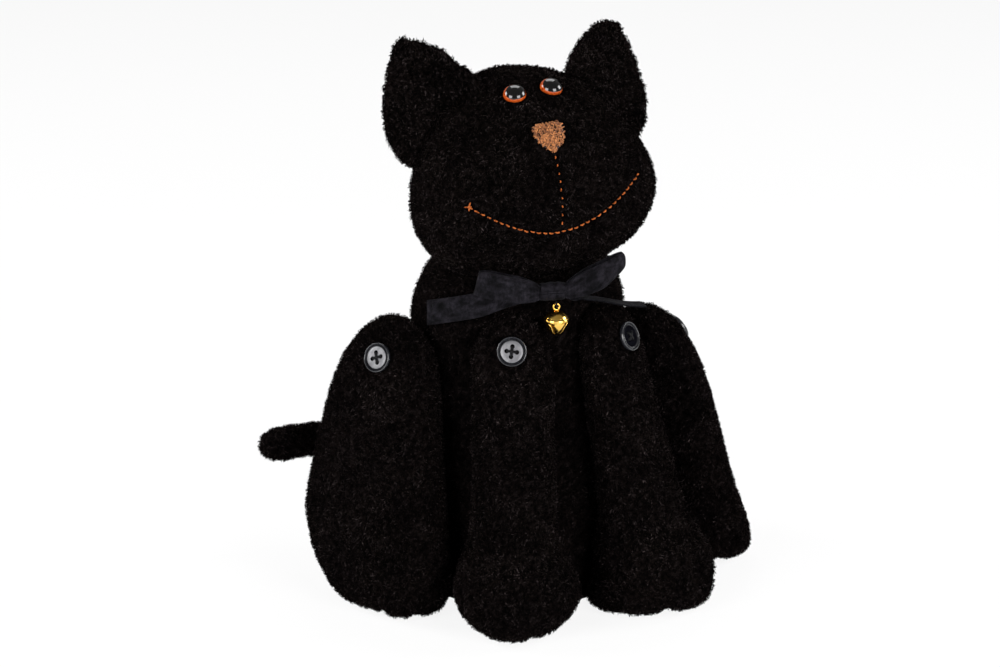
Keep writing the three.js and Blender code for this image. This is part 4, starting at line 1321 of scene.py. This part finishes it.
# Bell: turned halves, the lower one parted into four petals by crossed slots


def bell_matrix(spin=BELL_SPIN):
    place = bow_matrix @ Matrix.Translation(Vector((BELL_OFFSET, 0, -BELL_EYELET_DROP)) * MM)
    return place @ rotation_z(spin)


def shell(name, rows, material):
    """A thin shell from rows of points, each a closed ring of the same count."""
    rows = np.asarray(rows)
    count, around = rows.shape[:2]
    faces = []
    for i in range(count - 1):
        for k in range(around):
            n = (k + 1) % around
            faces.append((i * around + k, i * around + n, (i + 1) * around + n, (i + 1) * around + k))
    return object_from(name, carried(rows.reshape(-1, 3), bell_matrix()), faces, material)


def add_bell():
    around = 64
    turns = np.linspace(0, 2 * math.pi, around, endpoint=False)

    def ring(radius, z):
        return np.stack([radius * np.cos(turns), radius * np.sin(turns), np.full(around, z)], 1)

    upper = [
        (0.75, 4.35), (1.15, 4.1), (1.9, 3.7), (2.7, 3.1), (3.4, 2.4), (3.95, 1.7), (4.35, 1.0),
        (4.55, 0.5), (4.8, 0.38), (4.9, 0.22), (4.88, 0.05), (4.75, -0.05),
    ]
    top = shell("bell_upper_shell", [ring(r, z * DOME_SHARE + BELL_MIDDLE) for r, z in upper], brass)
    lower = [
        (4.78, -0.1), (4.9, -0.22), (4.86, -0.4), (4.65, -0.52), (4.58, -0.7), (4.55, -0.82), (4.5, -1.2),
        (4.38, -1.7), (4.15, -2.3), (3.8, -3.0), (3.35, -3.7), (2.8, -4.4), (2.15, -5.0), (1.5, -5.45),
        (0.95, -5.7),
    ]
    steps = 12
    verts, faces, index = [], [], {}
    for row, (r, z) in enumerate(lower):
        opened = 0.0 if z > -0.8 else 0.28 + 1.0 * float(1 - smoothstep(-z, 0.8, 2.2))
        gap = math.asin(min(opened / r, 0.7))
        squared = 0.2 * float(smoothstep(-z, 0.7, 3))
        for petal in range(4):
            for k in range(steps + 1):
                angle = math.pi / 2 * petal + gap + (math.pi / 2 - 2 * gap) * k / steps
                reach = r * (1 + 0.2 * squared - squared * math.cos(2 * angle) ** 2)
                index[row, petal, k] = len(verts)
                level = z * TAPER_SHARE + BELL_MIDDLE
                verts.append((reach * math.cos(angle), reach * math.sin(angle), level))
    for row in range(len(lower) - 1):
        for petal in range(4):
            for k in range(steps):
                faces.append((index[row, petal, k], index[row, petal, k + 1],
                              index[row + 1, petal, k + 1], index[row + 1, petal, k]))
    bottom = object_from("bell_lower_shell", carried(verts, bell_matrix()), faces, brass)
    weld = bottom.modifiers.new("weld", "WELD")
    weld.merge_threshold = 0.01 * MM
    for obj in (top, bottom):
        thick = obj.modifiers.new("thick", "SOLIDIFY")
        thick.thickness, thick.offset = BELL_WALL * MM, -1
        apply_modifiers(obj)
        bm = bmesh.new()
        bm.from_mesh(obj.data)
        bmesh.ops.recalc_face_normals(bm, faces=bm.faces)
        bm.to_mesh(obj.data)
        bm.free()
        obj.data.shade_smooth()
        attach(obj, "bell")
    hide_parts("bell_upper")
    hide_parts("bell_lower")
    eye, eye_faces = torus(1.3, 0.38)
    stem = tube([(0, 0, z) for z in (-1.5, -1.8, -2.1, -2.4)], 0.5, 12)
    collar = lathe([(0, -1.3), (0.75, -1.35), (1.0, -1.6), (1.2, -1.85), (1.25, -2.0), (0, -2.0)], 24)
    points, faces = joined([(eye, eye_faces), stem, collar])
    obj = object_from("bell_eyelet_wire", carried(points, bell_matrix(0)), faces, brass)
    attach(obj, "bell")
    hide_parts("bell_eyelet")


add_embroidery()
add_nose()
add_eyes()
add_buttons()
add_loops()
add_streamers()
add_knot()
add_bell()

# Nodes whose own shape stays get their finishes
for node, material in {
    "base_panel": lining, "ballast_bag": bag, "eye_washer_right": nylon, "eye_washer_left": nylon,
    "bell_hanger": black_thread, "bell_ball": brass,
}.items():
    kept = frame["nodes"][node]
    kept.data.materials.clear()
    kept.data.materials.append(material)
for node in ("bell_hanger", "bell_ball"):
    frame["nodes"][node].data.shade_smooth()


# Floor, light and camera

FLOOR_HALF = 6
FLOOR_SEEN = 0.88
BACKDROP_MIRRORED = 0.2
WORLD_STRENGTH = 0.07

# Each lamp's azimuth, elevation, distance, power, width and height
LAMPS = {
    "left": (-66, 16, 1.4, 19, 0.7, 0.8),
    "right": (10, 16, 1.4, 19, 0.7, 0.8),
    "rim_left": (-128, 24, 1.6, 20, 0.7, 0.8),
    "rim_right": (72, 24, 1.6, 20, 0.7, 0.8),
    "top": (150, 50, 1.7, 8, 0.9, 0.9),
}


def seen_share(nodes, links, seen, mirrored):
    """One share on camera rays, another on glossy and transmission rays, and 0 on all others."""
    rays = nodes.new("ShaderNodeLightPath")
    total = None
    shares = {"Is Camera Ray": seen, "Is Glossy Ray": mirrored, "Is Transmission Ray": mirrored}
    for ray, strength in shares.items():
        step = nodes.new("ShaderNodeMath")
        step.operation, step.use_clamp = "MULTIPLY_ADD", True
        step.inputs[1].default_value = strength
        step.inputs[2].default_value = 0
        links.new(rays.outputs[ray], step.inputs[0])
        if total:
            links.new(total, step.inputs[2])
        total = step.outputs[0]
    return total


def mixed(nodes, links, share, first, second, output):
    """Joins two shaders by a share, into an output's surface."""
    mix = nodes.new("ShaderNodeMixShader")
    links.new(share, mix.inputs["Fac"])
    links.new(first.outputs[0], mix.inputs[1])
    links.new(second.outputs[0], mix.inputs[2])
    links.new(mix.outputs[0], nodes[output].inputs["Surface"])


def add_floor():
    size = FLOOR_HALF
    rim = [(-size, -size, 0), (size, -size, 0), (size, size, 0), (-size, size, 0)]
    floor = object_from("floor", rim, [(0, 1, 2, 3)], [])
    made = bpy.data.materials.new("pale_floor")
    made.use_nodes = True
    nodes, links = made.node_tree.nodes, made.node_tree.links
    shader = nodes["Principled BSDF"]
    shader.inputs["Base Color"].default_value = (0.86, 0.86, 0.86, 1)
    shader.inputs["Roughness"].default_value = 0.9
    glow = nodes.new("ShaderNodeEmission")
    share = seen_share(nodes, links, FLOOR_SEEN, BACKDROP_MIRRORED)
    mixed(nodes, links, share, shader, glow, "Material Output")
    floor.data.materials.append(made)


def add_world():
    world = bpy.data.worlds.new("studio")
    bpy.context.scene.world = world
    world.use_nodes = True
    nodes, links = world.node_tree.nodes, world.node_tree.links
    lit = nodes["Background"]
    lit.inputs["Color"].default_value = (1, 1, 1, 1)
    lit.inputs["Strength"].default_value = WORLD_STRENGTH
    white = nodes.new("ShaderNodeBackground")
    white.inputs["Color"].default_value = (1, 1, 1, 1)
    mixed(nodes, links, seen_share(nodes, links, 1, BACKDROP_MIRRORED), lit, white, "World Output")


def around(azimuth, elevation, distance):
    """A place round the target: azimuth 0 in front of the part, 90 on its left side."""
    a, e = math.radians(azimuth), math.radians(elevation)
    way = Vector((math.sin(a) * math.cos(e), -math.cos(a) * math.cos(e), math.sin(e)))
    return CAMERA_TARGET + way * distance


def add_light(name, place, power, width, height):
    data = bpy.data.lights.new(name, "AREA")
    data.energy, data.shape, data.size, data.size_y = power, "RECTANGLE", width, height
    lamp = bpy.data.objects.new(name, data)
    bpy.context.scene.collection.objects.link(lamp)
    lamp.location = place
    lamp.rotation_mode = "QUATERNION"
    lamp.rotation_quaternion = (CAMERA_TARGET - place).to_track_quat("-Z", "Y")


def add_camera():
    data = bpy.data.cameras.new("camera")
    data.sensor_width = SENSOR_WIDTH
    data.lens = CAMERA_DISTANCE / METRES_PER_PIXEL * SENSOR_WIDTH / PHOTO_WIDTH
    camera = bpy.data.objects.new("camera", data)
    bpy.context.scene.collection.objects.link(camera)
    camera.location = around(CAMERA_AZIMUTH, CAMERA_ELEVATION, CAMERA_DISTANCE)
    camera.rotation_mode = "QUATERNION"
    camera.rotation_quaternion = (CAMERA_TARGET - camera.location).to_track_quat("-Z", "Y")
    bpy.context.scene.camera = camera


add_floor()
add_world()
for name, (azimuth, elevation, distance, power, width, height) in LAMPS.items():
    add_light(name, around(azimuth, elevation, distance), power, width, height)
add_camera()
bpy.context.scene.view_settings.view_transform = "Standard"
